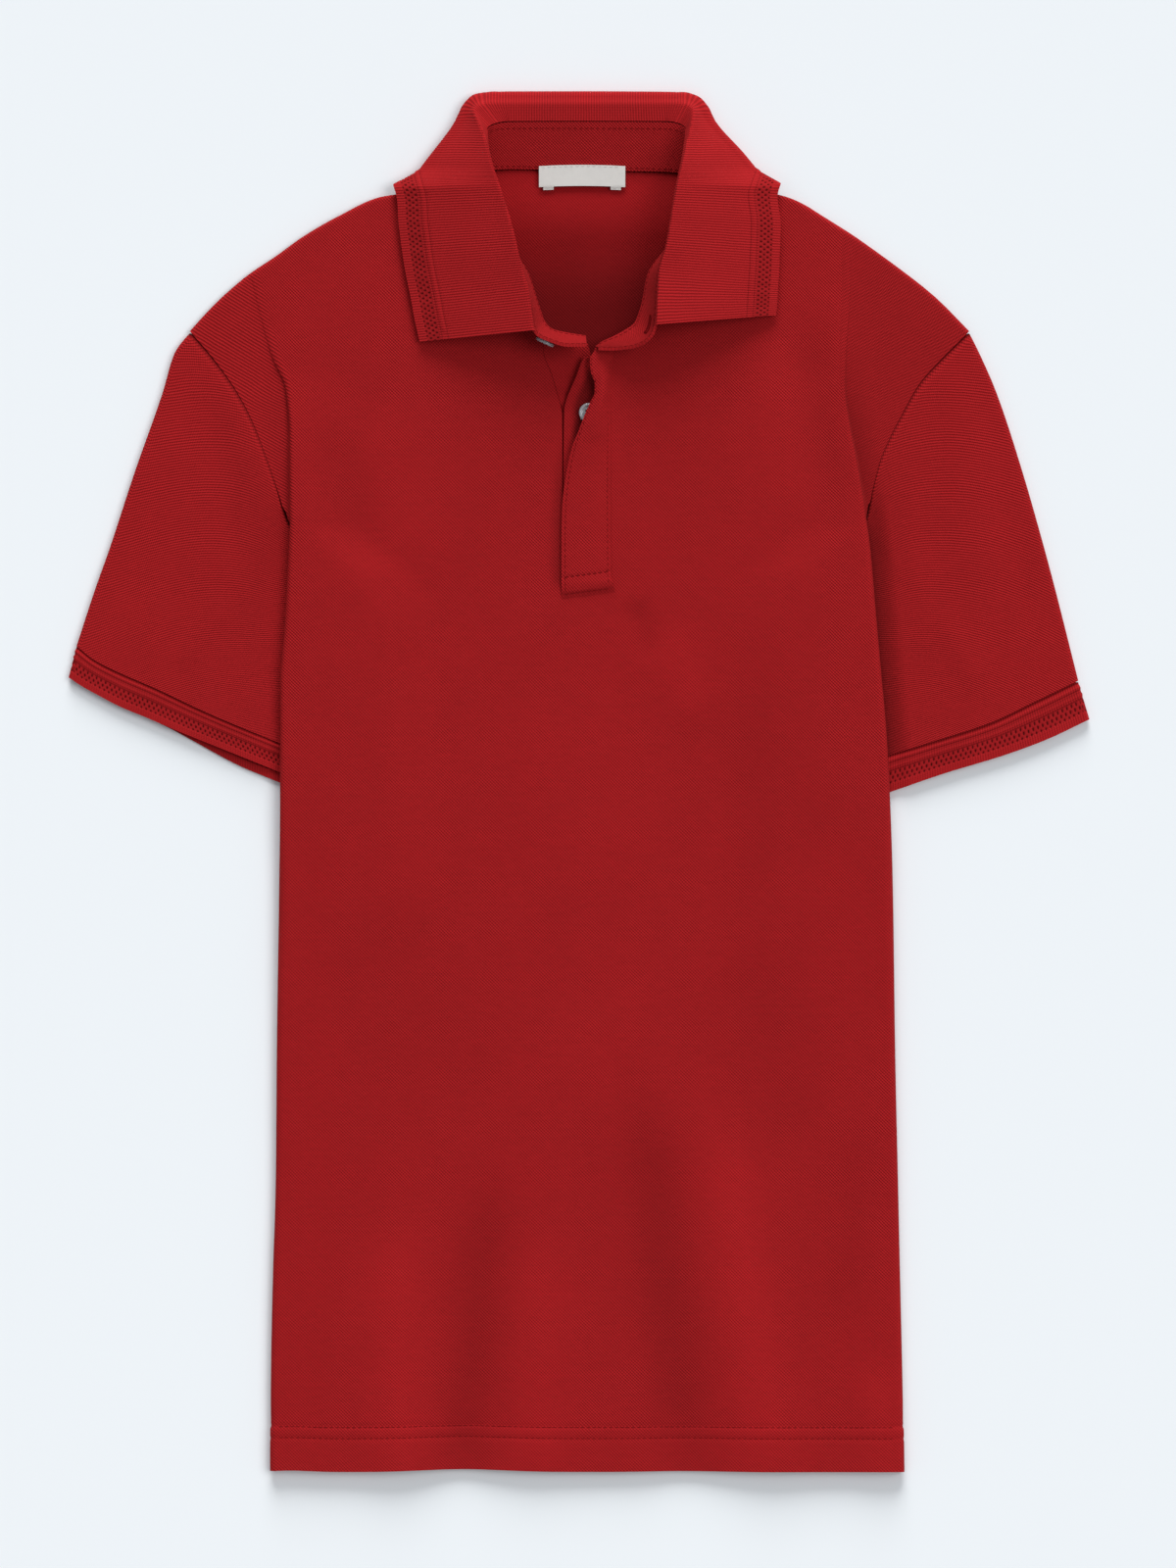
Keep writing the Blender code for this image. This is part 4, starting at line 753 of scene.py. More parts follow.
def front_painted_shade(x, y, upper):
    """Painted light and shade: lighter on the ridges, darker in the troughs, past the folds and
    by the placket.
    """
    tone = 1 + CREASE_SHADE * crease(CREASES, x, y) * upper
    # painted shade on the cloth past the side folds
    for side, depth in FOLD_SHADE.items():
        away = past_fold(side, x, y)
        beyond = ease(away / 3 + 0.5) * (1 - ease(away / 20))
        tone -= depth * beyond * ease((y - 130) / 30) * ease((262 - y) / 60)
    # painted shadow of the placket's cover on the front, along the cover's left edge
    left_of = column(COVER, np.clip(y, 108, 215)) - x
    return tone - (PLACKET_SHADE * (left_of > -3) * (1 - ease(left_of / 9))
                   * ease((y - 110) / 8) * ease((232 - y) / 30))


def front_panel():
    def rows(upper, lower):
        return np.concatenate([spread((0, SHOULDER_ROLL, 0.15, 1, 3), upper)[:-1],
                               spread((3, 3.19, 3.37, 3.925, 4), lower)])
    across = (0, 0.9, 1, 2, 3, 4)
    taus, kappas = rows([4, 8, 36, 66], [28, 22, 40, 36]), spread(across, [54, 10, 6, 6, 9])
    grid = two_halves(rolled_front_point, rows([2, 4, 16, 26], [12, 10, 10, 4]), taus,
                      spread(across, [16, 4, 4, 4, 3]), kappas)
    share = np.concatenate([kappas[::-1], kappas])
    upper = 1 - ease((share - 0.9) / 1.6)
    x, y = grid[..., 0].copy(), grid[..., 1].copy()
    beside = ease((abs(x - NECK_CENTRE) - 32) / 20) + ease((112 - y) / 16)
    grid[..., 2] += (crease(CREASES, x, y) + ripple(x, y)) * upper * np.clip(beside, 0, 1)
    pucker = 0.16 * np.sin(x / 3.4 + 2 * np.sin(x / 19.0)) * bell(y - HEM_STITCHES[0] - 4, 7)
    hem = HEM_STEP * (1 - ease((y - HEM_FOLD + 1.5) / 1.5))
    lines = sum(bell(y - line, GROOVE_HALF) for line in HEM_STITCHES)
    cloth = cloth_of(grid, share)
    hem_wave(grid)
    keep = np.ones((len(taus) - 1, len(share) - 1), bool)
    keep[:np.searchsorted(taus, 3), len(kappas) - 1] = False
    return wall("front_panel", grid, cloth, WALLS["body"], CLOTH["front"], keep,
                outer=hem + pucker - GROOVE_DEPTH * lines, facing=-1,
                tone=front_painted_shade(x, y, upper)), grid


def back_panel():
    stops, tau_stops = (0, 0.33, 1, 2, 3), (0, 0.1, 1, 1.012, 1.1, 2)
    kappas = spread(stops, [16, 26, 8, 4])
    grid = two_halves(back_point, spread(tau_stops, [4, 16, 1, 6, 14]),
                      spread(tau_stops, [8, 32, 1, 8, 40]), spread(stops, [6, 10, 6, 2]),
                      kappas, 1)
    share = np.concatenate([kappas[1:][::-1], kappas])
    x, y = grid[..., 0], grid[..., 1]
    inside = (1 - ease((share - 0.2) / 0.15)) * ease((y - 200) / 30) * (1 - ease((y - 330) / 20))
    grid[..., 2] += 1.2 * inside * (1 + 0.3 * ripple(x, y) / RIPPLE)
    cloth = cloth_of(grid, share)
    hem_wave(grid)
    return wall("back_panel", grid, cloth, WALLS["body"], CLOTH["inside"], facing=-1,
                under=CLOTH["pique"])


# --- sleeves and cuffs
def flat_ring(line, side, columns, turn_steps, puff, dip, over, back_shift=0.0):
    """Ring of a flattened tube: over the top, round the inner turn, back below.

    line holds plan points across the sleeve, over those of its upper layer."""
    lengths = arc(line)
    total = lengths[-1]

    def plan(q, points=line):
        return np.stack([np.interp(q, lengths, points[:, k]) for k in (0, 1)], axis=-1)

    def height(q):
        x, y = plan(q).T
        pressed = ease((14 - past_fold(side, x, y)) / 11) * ease((185 - y) / 35)
        free = SLEEVE_TOP + puff * np.sin(math.pi * np.clip(q / total, 0, 1)) ** 0.8
        return free + (SLEEVE_PRESSED - free) * pressed

    ends = (height(np.array([0, total])) - FLOOR) / 2
    inset = ends + JERSEY / 2
    q = inset[0] + (total - inset[0] - inset[1]) * columns
    turn = math.pi * np.arange(1, turn_steps) / turn_steps
    upper = np.column_stack([plan(q, over), height(q) - dip])
    inner = np.column_stack([plan(total - inset[1] + ends[1] * np.sin(turn)),
                             FLOOR + ends[1] * (1 + np.cos(turn))])
    lower = np.column_stack([plan(q), np.full(len(q), FLOOR)])
    lower[:, 1] -= back_shift * ease((columns - 0.35) / 0.4)
    outer = np.column_stack([plan(inset[0] - ends[0] * np.sin(turn)),
                             FLOOR + (ends[0] - dip / 2) * (1 - np.cos(turn))])
    return np.concatenate([upper, inner, lower[::-1], outer])


def ring_cloth(rings, shares, length):
    """Cloth places of a tube: round each ring, and along the tube."""
    middle = rings[len(rings) // 2]
    around = arc(np.concatenate([middle, middle[:1]]))
    return np.stack(np.meshgrid(around, length * shares), axis=2)


ACROSS_SLEEVE = np.linspace(0, 1, 97)


def sleeve(name, data):
    side = data["side"]
    columns = spread([0, 0.12, 0.88, 1], [10, 54, 8])
    shares = spread([0, HEAD_DIP_SHARE, 0.06, 0.94, 1], [4, 5, 52, 8])
    start = np.interp(ACROSS_SLEEVE, *SLEEVE_START)
    edges = (data["head"], data["seam"], data["outer"],
             straight(data["head"](1), data["seam"](1)))
    rings = []
    for share in shares:
        near = 1 - ease(share / HEAD_DIP_SHARE)
        rings.append(flat_ring(coons(np.maximum(share, start), ACROSS_SLEEVE, *edges), side,
                               columns, 8, SLEEVE_PUFF, HEAD_DIP * near,
                               coons(share - LIP * near, ACROSS_SLEEVE, *edges)))
    grid = np.array(rings)
    top = grid[:, :len(columns)]
    lift = crease(SLEEVE_CREASES, top[..., 0], top[..., 1]) + ripple(top[..., 0], top[..., 1])
    top[..., 2] += (lift * ease(columns / 0.1) * ease((1 - columns) / 0.1)
                    * ease(shares / 0.05)[:, None])
    # painted shadow of the body's side on the sleeve cloth beside it, from below the armhole
    # down
    beside = 1 - ease((past_fold(side, grid[..., 0], grid[..., 1]) + 2) / SIDE_SHADE)
    return wall("sleeve_cloth_" + name, grid, ring_cloth(grid, shares, data["outer"].length),
                WALLS["body"], CLOTH["sleeve"], ring=True,
                tone=1 - SIDE_DEEPEST * beside * ease((175 - grid[..., 1]) / 40))


def cuff(name, data):
    seam, edge = data["seam"], data["edge"]
    columns = spread([0, 0.06, 0.94, 1], [12, 190, 10])
    shares = spread([0, 0.06, 1], [3, 26])
    edges = (seam, edge, straight(seam(0), edge(0)), straight(seam(1), edge(1)))
    rings = []
    for share in shares:
        near = 1 - ease(share / 0.12)
        rings.append(flat_ring(coons(max(share, 0.03), ACROSS_SLEEVE, *edges), data["side"],
                               columns, 6, 0.5, 0.9 * near + 0.35,
                               coons(share - 0.06 * near, ACROSS_SLEEVE, *edges),
                               data["back_drop"] * share))
    cloth = ring_cloth(rings, 1 - shares, CUFF_WIDTH)
    relief = band_relief(cloth[:, :-1], CUFF_BAND, CUFF_RIDGES, 0.9)
    return wall("cuff_rib_" + name, rings, cloth, WALLS["body"], CLOTH["cuff"], ring=True,
                outer=relief, facing=data["side"])


def band_relief(cloth, band, ridges, ridge_half):
    """Openwork dimples in the band and raised ridges beside it."""
    u, v = cloth[..., 0], cloth[..., 1]
    edge = ease((v - band[0]) / 0.6) * ease((band[1] - v) / 0.6)
    lattice = (np.cos(2 * math.pi * u / HOLE_PITCH)
               * np.cos(2 * math.pi * (v - band[0]) / HOLE_ROWS - math.pi / 4))
    relief = -HOLE_DEPTH * edge * ease((lattice - 0.1) / 0.6)
    for line in ridges:
        away = v - line
        relief += RIDGE_HEIGHT * bell(away, ridge_half)
        for gap in (-1.9, 1.9):
            relief -= RIDGE_GAP_DEPTH * bell(away - ridge_half * gap, 0.5)
    return relief


# --- collar, placket and label
def collar_stand():
    stations = spread([0, 3, 9, 15.5, 22, 25], [26, 40, 44, 44, 26])
    heights = spread([0, 1], [16])
    grid = np.array([[stand_point(s, h) for h in heights] for s in stations])
    cloth = np.stack(np.meshgrid(heights * 28, arc(grid[:, 8])), axis=2)[..., ::-1]
    return wall("collar_stand_cloth", grid, cloth, WALLS["stand"], CLOTH["pique"]), grid


def collar_leaf():
    stations = spread([0, 4, 5.2, 9, 10, 12, 13, 16.8, 18, 22],
                      [70, 22, 60, 18, 30, 18, 60, 22, 70])
    shares = spread([0, 0.05, 0.2, 0.72, 1], [6, 12, 22, 34])
    grid = np.array([leaf_section(s, shares) for s in stations])
    middle = (arc(grid[:, 10]) + arc(grid[:, -1])) / 2
    across = np.array([arc(row) for row in grid])
    cloth = np.stack([np.repeat(middle[:, None], len(shares), axis=1),
                      across[:, -1:] - across], axis=2)
    plain = ease((np.minimum(middle, middle[-1] - middle) - LEAF_BAND_END) / 0.6)[:, None]
    relief = band_relief(cloth, LEAF_BAND, LEAF_RIDGES, 1.1) * plain
    return wall("collar_leaf_rib", grid, cloth, WALLS["rib"], CLOTH["collar"],
                outer=relief, facing=-1)


def box_line(x):
    """How much the placket's box of stitches rises across it."""
    return COVER_FOOT_RISE * (x + 9) / 31


def strip(name, table, rows, foot_rise=0.0, seam=None, lines=(), dark=0.0):
    """A placket layer between its left and right edges, crowned through its middle z.

    lines are stitch lines, which press a groove into the layer; dark is how much painted
    shade darkens it away from its left edge."""
    columns = spread([0, 0.2, 0.8, 1], [8, 20, 8])
    data = np.array(table, float)
    grid = []
    for y in rows:
        left, right, *heights = hermite(data[:, 0], data[:, 1:], y)
        if seam and y > PLACKET_FOOT + 0.5:
            sewn = column(SIDES[seam]["placket"], y) - seam * 0.1
            left, right = (sewn, right) if seam < 0 else (left, sewn)
        rise = foot_rise * columns * (1 - ease((y - data[-1, 0]) / 12))
        grid.append(np.column_stack([left + (right - left) * columns, y + rise,
                                     hermite([0, 0.5, 1], heights, columns)]))
    grid = np.array(grid[::-1])
    x, y = grid[..., 0], grid[..., 1]
    outer = -0.25 * sum((bell(y - box_line(x) - line, 0.8) for line in lines), np.zeros_like(x))
    return wall(name, grid, grid[..., :2], WALLS["body"], CLOTH["front"], outer=outer,
                facing=-1, tone=1 - dark * ease((x - x[:, :1] - 3) / 5)), grid


def label_bow(x):
    return 0.0012 * (x - 3) ** 2


def neck_label():
    left, right, bottom = LABEL["left"], LABEL["right"], LABEL["bottom"]
    inner = LABEL["tab_inset"]
    outer = inner + LABEL["tab_width"]
    xs = spread([left, left + inner, left + outer, right - outer, right - inner, right],
                [3, 6, 30, 6, 3])
    ys = spread([LABEL["top"], bottom, bottom - LABEL["tab_drop"]], [12, 4])
    grid = np.array([[(x, y - label_bow(x), LABEL["height"]) for x in xs] for y in ys])
    grid[..., 2] -= 0.5 * ease((bottom - 0.2 - grid[..., 1]) / 1.6)
    keep = np.ones((len(ys) - 1, len(xs) - 1), bool)
    for gap in (slice(None, 3), slice(9, -9), slice(-3, None)):
        keep[12:, gap] = False
    return wall("neck_label_satin", grid, grid[..., :2], WALLS["label"], CLOTH["label"], keep)


# --- buttons
def ring_of(steps, radius, turn=0.0):
    return [(radius * math.cos(turn + 2 * math.pi * k / steps),
             radius * math.sin(turn + 2 * math.pi * k / steps)) for k in range(steps)]


def button(name, centre, facing):
    """Four-hole button with a rounded rim and a dished middle."""
    radius, half, rim = BUTTON["diameter"] / 2, BUTTON["thick"] / 2, BUTTON["rim"]
    face = half - BUTTON["dish"]
    profile = [(0, -half), (radius * 0.5, -half), (radius * 0.8, -half * 0.92)]
    profile += [(radius - 0.5 + 0.5 * math.sin(a), 0.1 - (half - 0.1) * math.cos(a))
                for a in np.linspace(0.35, math.pi - 0.2, 10)]
    profile += [(radius - rim * 0.7, half + 0.02), (radius - rim, half - 0.06),
                (radius - rim - 0.35, half - BUTTON["dish"] * 0.75),
                (radius - rim - 0.8, face), (0, face)]
    mesh = bmesh.new()
    steps = 48
    rings = [[mesh.verts.new((x * MM, y * MM, z * MM)) for x, y in ring_of(steps if r else 1, r)]
             for r, z in profile]
    for a, b in zip(rings, rings[1:]):
        for k in range(steps):
            loop = [a[k % len(a)], a[(k + 1) % len(a)], b[(k + 1) % len(b)], b[k % len(b)]]
            mesh.faces.new([v for n, v in enumerate(loop) if v not in loop[:n]])
    bmesh.ops.recalc_face_normals(mesh, faces=mesh.faces)
    data = bpy.data.meshes.new(name)
    mesh.to_mesh(data)
    mesh.free()
    item = placed(name, data, CLOTH["resin"])
    cutters = []
    for x, y in ring_of(4, BUTTON["hole_circle"] / 2, math.pi / 4):
        bpy.ops.mesh.primitive_cylinder_add(vertices=20, radius=BUTTON["hole"] / 2 * MM,
                                            depth=half * 6 * MM, location=(x * MM, y * MM, 0))
        cutters.append(bpy.context.object)
        cut = item.modifiers.new("hole", "BOOLEAN")
        cut.operation, cut.solver, cut.object = "DIFFERENCE", "EXACT", cutters[-1]
    bpy.context.view_layer.update()
    graph = bpy.context.evaluated_depsgraph_get()
    data = bpy.data.meshes.new_from_object(item.evaluated_get(graph))
    item.modifiers.clear()
    item.data = data
    for cutter in cutters:
        bpy.data.objects.remove(cutter, do_unlink=True)
    data.shade_smooth()
    data.set_sharp_from_angle(angle=math.radians(40))
    item.location = [c * MM for c in np.array(centre) - MIDDLE]
    item.rotation_mode = "QUATERNION"
    item.rotation_quaternion = Vector((0, 0, 1)).rotation_difference(Vector(facing))
    return item


def button_thread(name, item):
    """Two pairs of thread bars through the four holes, on the button's face."""
    at = BUTTON["hole_circle"] / 2 * math.sqrt(0.5)
    face = BUTTON["thick"] / 2 - BUTTON["dish"]
    turns = np.linspace(-math.pi / 2, math.pi / 2, 9)
    paths = [[(at * side + beside, at * math.sin(t), face - 0.9 + 1.25 * math.cos(t) ** 0.4)
              for t in turns] for side in (-1, 1) for beside in (-0.22, 0.22)]
    thread = tubes(name, paths, 0.24, moved=False)
    thread.location = item.location
    thread.rotation_mode = "QUATERNION"
    thread.rotation_quaternion = item.rotation_quaternion
    return thread


def buttons():
    at = stand_point(STAND_BUTTON_STATION, 0.55)
    along = stand_point(STAND_BUTTON_STATION + 0.3, 0.55) - at
    facing = unit(np.array([along[1], -along[0], 0.0]))
    facing *= -np.sign(facing[1])
    clear = STAND_WALL / 2 + 1 + BUTTON["thick"] / 2
    low = (*PLACKET_BUTTON, UNDER_TOP + SEAM_GAP + BUTTON["thick"] / 2)
    return [("button_stand", button("button_resin_stand", at + facing * clear, facing)),
            ("button_placket", button("button_resin_placket", low, (0, 0, 1)))]


# --- thread
def tubes(name, paths, radius=STITCH["radius"], material="thread", moved=True, taper=True):
    """One object of thin round threads, each along its path of points in mm."""
    points, faces = [], []
    sides = STITCH["sides"]
    for path in paths:
        path = np.array(path, float) - (MIDDLE if moved else (0, 0, 0))
        ahead = np.gradient(path, axis=0)
        ahead /= np.linalg.norm(ahead, axis=1, keepdims=True)
        side = np.cross(ahead, (0, 0, 1.0))
        side /= np.maximum(np.linalg.norm(side, axis=1, keepdims=True), 1e-6)
        rise = np.cross(side, ahead)
        first, last = len(points), len(points) + (len(path) - 1) * sides
        for k, centre in enumerate(path):
            r = radius * (0.45 if taper and k in (0, len(path) - 1) else 1)
            points += [(centre + side[k] * x + rise[k] * y) * MM for x, y in ring_of(sides, r)]
        faces += [(row + s, row + (s + 1) % sides, row + sides + (s + 1) % sides,
                   row + sides + s) for row in range(first, last, sides) for s in range(sides)]
        faces += [tuple(range(first, first + sides))[::-1], tuple(range(last, last + sides))]
    data = bpy.data.meshes.new(name)
    data.from_pydata([tuple(p) for p in points], [], faces)
    data.shade_smooth()
    return placed(name, data, CLOTH[material])


def stitches(line):
    """Separate stitches along a line of surface points, each end dipping into the cloth."""
    line = np.array(line, float)
    at = arc(line)
    pitch = STITCH["length"] + STITCH["gap"]
    steps = STITCH["steps"]
    paths = []
    for n in range(int(at[-1] // pitch)):
        q = n * pitch + STITCH["gap"] / 2 + np.linspace(0, STITCH["length"], steps)
        path = np.stack([np.interp(q, at, line[:, k]) for k in range(3)], axis=1)
        path[:, 2] -= STITCH["sink"] * abs(np.linspace(-1, 1, steps)) ** 3
        paths.append(path)
    return paths


def on_grid(grid, plan, lift):
    """Puts points of the plan on the nearest point of a piece's upper surface."""
    flat = grid.reshape(-1, 3)
    placed_points = []
    for x, y in plan:
        away = (flat[:, 0] - x) ** 2 + (flat[:, 1] - y) ** 2
        near = np.argpartition(away, 4)[:4]
        weight = 1 / (away[near] + 0.05)
        placed_points.append((x, y, (flat[near, 2] * weight).sum() / weight.sum() + lift))
    return placed_points


def hem_stitching(grid):
    paths = []
    for height in HEM_STITCHES:
        row = np.argmin(abs(grid[:, grid.shape[1] // 2, 1] - height))
        paths += stitches(grid[row, 22:-22] + (0, 0, WALLS["body"] / 2 + 0.14))
    return tubes("hem_stitching", paths)


def placket_stitching(grid):
    lift = WALLS["body"] / 2 + 0.02
    paths = []
    for share, low, high in ((0.93, BOX_STITCH[0] + 4, 246), (0.075, BOX_STITCH[0], 247)):
        line = grid[:, 0] + (grid[:, -1] - grid[:, 0]) * share
        line[:, 2] = [np.interp(share, np.linspace(0, 1, len(row)), row[:, 2]) for row in grid]
        line = line[(line[:, 1] > low) & (line[:, 1] < high)]
        paths += stitches(line + (0, 0, lift + 0.06))
    for height in BOX_STITCH:
        plan = [(x, height + box_line(x)) for x in np.linspace(-7.5, 20.5, 40)]
        paths += stitches(on_grid(grid, plan, lift + 0.02))
    return tubes("placket_stitching", paths)


def stand_stitching(grid):
    """Along the stand's neck seam and top edge, on the side that faces the neck."""
    normals = face_normals(grid, np.ones((grid.shape[0] - 1, grid.shape[1] - 1)))
    middle = grid[:, 8, :2].mean(axis=0)
    sign = np.sign(((middle - grid[:, 8, :2]) * normals[:, 8, :2]).sum(axis=1).mean())
    paths = []
    for k in (1, 14):
        paths += stitches(grid[:, k] + sign * normals[:, k] * (WALLS["stand"] / 2 + 0.1))
    return tubes("stand_stitching", paths)


def buttonhole():
    """Close stitches round the slit at the right end of the stand, on its inner side."""
    loop = []
    for side in (1, -1):
        for s in np.linspace(BUTTONHOLE["first"], BUTTONHOLE["last"], 14)[::side]:
            here = stand_point(s, BUTTONHOLE["height"])
            up = unit(stand_point(s, BUTTONHOLE["height"] + 0.05) - here)
            out = unit(np.cross(stand_point(s + 0.05, BUTTONHOLE["height"]) - here, up))
            out *= np.sign(((NECK_MIDDLE - here) * out)[:2].sum())
            loop.append(here + out * (WALLS["stand"] / 2 + 0.12)
                        + up * BUTTONHOLE["half"] * side)
    return tubes("buttonhole_stitching", [loop + loop[:1]], BUTTONHOLE["radius"], taper=False)


def label_stitching():
    lift = WALLS["label"] / 2 + 0.05 + LABEL["height"]
    paths = []
    for left in (LABEL["left"] + 3.2, LABEL["right"] - 7.8):
        paths += stitches([(x, LABEL["bottom"] - 1.1, lift - 0.35)
                           for x in np.linspace(left, left + 4.6, 8)])
    paths += stitches([(x, LABEL["top"] - 0.8 - label_bow(x), lift)
                       for x in np.linspace(LABEL["left"] + 1, LABEL["right"] - 1, 60)])
    return tubes("label_stitching", paths, 0.14, "label_thread")


# --- materials
def plug(socket, value):
    if isinstance(value, Value):
        socket.id_data.links.new(value.socket, socket)
    else:
        socket.default_value = value


class Value:
    """A number that a material works out at each place of the surface."""

    def __init__(self, socket):
        self.socket = socket

    def math(self, operation, *values):
        node = self.socket.id_data.nodes.new("ShaderNodeMath")
        node.operation = operation
        for socket, value in zip(node.inputs, (self, *values)):
            plug(socket, value)
        return Value(node.outputs[0])

    def __add__(self, other):
        return self.math("ADD", other)

    def __sub__(self, other):
        return self.math("SUBTRACT", other)

    def __rsub__(self, other):
        return self.math("MULTIPLY_ADD", -1, other)

    def __mul__(self, other):
        return self.math("MULTIPLY", other)

    def wave(self, pitch, shift=0.0):
        """A wave of that pitch along the value, 0 to 1."""
        turn = self.math("MULTIPLY_ADD", 2 * math.pi / pitch, shift)
        return turn.math("SINE").math("MULTIPLY_ADD", 0.5, 0.5)

    def step(self, start, width):
        """0 below start, 1 above it, over a width."""
        node = self.socket.id_data.nodes.new("ShaderNodeMapRange")
        node.interpolation_type = "SMOOTHSTEP"
        plug(node.inputs["Value"], self)
        node.inputs["From Min"].default_value = start
        node.inputs["From Max"].default_value = start + width
        return Value(node.outputs[0])


class Graph:
    """Short calls for the nodes of one material."""

    def __init__(self, name):
        self.material = bpy.data.materials.new(name)
        self.material.use_nodes = True
        self.nodes = self.material.node_tree.nodes
        self.shader = self.nodes["Principled BSDF"]

    def node(self, kind, output, inputs=(), **settings):
        """A node's output; inputs pairs its sockets with numbers or other outputs."""
        node = self.nodes.new("ShaderNode" + kind)
        for key, value in settings.items():
            setattr(node, key, value)
        for socket, value in inputs:
            plug(node.inputs[socket], value)
        return Value(node.outputs[output])

    def cloth(self):
        """The piece's u and v in millimetres of cloth."""
        place = self.node("UVMap", 0, uv_map="cloth")
        return [self.node("SeparateXYZ", k, [(0, place)]) * (1 / MM) for k in (0, 1)]

    def space(self):
        """The shirt's own space, in metres."""
        return self.node("TexCoord", "Object")

    def noise(self, scale, detail=2.0, stretch=(1, 1, 1)):
        """Noise over the shirt's own space, about 0 to 1."""
        place = self.node("Mapping", 0, [(0, self.space()), ("Scale", stretch)])
        return self.node("TexNoise", "Fac", [("Vector", place), ("Scale", scale),
                                             ("Detail", detail)])

    def uneven(self, by, *noise):
        """Noise about 0, as wide as by."""
        return self.noise(*noise).math("MULTIPLY_ADD", by, -by / 2)

    def finish(self, colour, tone, bump, roughness, sheen=0.0, tint=(1, 1, 1, 1),
               specular=0.3):
        """The colour times tone, a bump's height and depth, and the shader's own values."""
        values = {"Base Color": self.node("VectorMath", 0, [(0, colour), ("Scale", tone)],
                                          operation="SCALE"),
                  "Roughness": roughness, "Specular IOR Level": specular,
                  "Sheen Weight": sheen, "Sheen Roughness": 0.45, "Sheen Tint": tint}
        if bump:
            values["Normal"] = self.node("Bump", 0, [("Height", bump[0]), ("Distance", bump[1]),
                                                     ("Strength", 1.0)])
        for socket, value in values.items():
            plug(self.shader.inputs[socket], value)
        return self.material


RED = (0.348, 0.0108, 0.0130)
RED_RIB = (0.352, 0.0116, 0.0138)
# RED_INSIDE is darker than RED: partly the knit's plain inner side, partly painted shade for
# inside the neck
RED_INSIDE = (0.30, 0.0078, 0.0100)
SHEEN_TINT = (0.9, 0.25, 0.22, 1)
NECK_SHADE = (0.268, 0.080)     # painted shade inside the neck: lowest place of the deeper tone, and the height it fades over
NECK_DEEPEST = 0.42
SEAM_SHADE = (1.2, 2.6)         # painted shade of the sleeve's cloth in its seam with the body, in mm
SEAM_DEEPEST = 0.35
PIQUE_CELL = 1.3      # of the knit, across one cell
RIB_PITCH = 1.5
COURSE_PITCH = 0.9
ROLL_RIBS = 46.0      # past this distance from the outer edge the ribs show more


def pique(name, colour, depth=0.0004, contrast=0.75, shaded=False, seam=False,
          toned=False):
    """Pique knit: small cells on the diagonal, with uneven thread and a faint mottle.

    shaded paints shade inside the neck, deeper towards the front's edge; seam paints shade
    into the cloth's first edge; and toned takes up the painted light and shade kept on the mesh."""
    graph = Graph(name)
    u, v = graph.cloth()
    wander = graph.uneven(0.5, 160, 1)
    diagonal = PIQUE_CELL * math.sqrt(2)
    cells = (u + v + wander).wave(diagonal) * 0.62 + (u - v + wander).wave(diagonal) * 0.38
    fuzz = graph.noise(2600, 3)
    tone = (cells * contrast + (1 - contrast * 0.55) + graph.uneven(0.08, 22, 3, (1.6, 1, 1))
            + graph.uneven(0.16, 420, 2, (0.3, 1, 1)) + (fuzz - 0.5) * 0.3)
    if shaded:
        height = graph.node("SeparateXYZ", 1, [(0, graph.space())])
        tone *= height.step(*NECK_SHADE) * (1 - NECK_DEEPEST) + NECK_DEEPEST
    if seam:
        tone *= v.step(*SEAM_SHADE) * (1 - SEAM_DEEPEST) + SEAM_DEEPEST
    if toned:
        tone *= graph.node("Attribute", "Fac", attribute_name="tone")
    return graph.finish(colour, tone, (cells + fuzz * 0.35, depth), 0.9, 0.03, SHEEN_TINT, 0.07)


def rib(name, colour, band, ridges):
    """Flat rib knit: fine ribs across the strip, and a darker openwork band."""
    graph = Graph(name)
    u, v = graph.cloth()
    ribs = (u + graph.uneven(0.5, 120, 1)).wave(RIB_PITCH)
    inside = v.step(band[0], 0.5) * (1 - v.step(band[1] - 0.5, 0.5))
    across = u.wave(HOLE_PITCH, math.pi / 2) * 2 - 1
    along = (v - band[0]).wave(HOLE_ROWS, math.pi / 4) * 2 - 1
    holes = (across * along).step(0.15, 0.5) * inside
    knit = (ribs * 0.75 + v.wave(COURSE_PITCH) * 0.25) * (1 - inside)
    fuzz = graph.noise(2400, 3)
    near_roll = v.step(ROLL_RIBS, 12) * 0.34 + 0.26
    tone = (knit - 0.5) * near_roll + 1 - holes * 0.62
    for line in ridges:
        for beside in (-1.9, 1.9):
            gap = (v - (line + beside)).math("ABSOLUTE")
            tone -= (1 - gap.step(0, 0.7)) * 0.3
    tone += graph.uneven(0.18, 45, 3) + (fuzz - 0.5) * 0.22
    return graph.finish(colour, tone, (knit + fuzz * 0.3, 0.0003), 0.92, 0.04, SHEEN_TINT, 0.07)


def satin(name, colour):
    """Label satin: fine weft lines with a soft shine along them."""
    graph = Graph(name)
    u, v = graph.cloth()
    height = v.wave(0.42) * 0.7 + u.wave(0.6) * 0.3
    tone = height * 0.14 + 0.92 + graph.uneven(0.10, 220, 2)
    return graph.finish(colour, tone, (height, 0.00006), 0.42, 0.1, specular=0.5)


def resin(name):
    """Smoky clear resin: mostly clear, glossy, with faint pearl clouds."""
    graph = Graph(name)
    clouds = graph.noise(420, 2)
    for socket, value in (("Transmission Weight", 0.55), ("IOR", 1.5), ("Coat Weight", 0.5),
                          ("Coat Roughness", 0.05)):
        graph.shader.inputs[socket].default_value = value
    return graph.finish((0.60, 0.60, 0.63), clouds * 0.5 + 0.72, (clouds, 0.00004), 0.1,
                        specular=0.6)


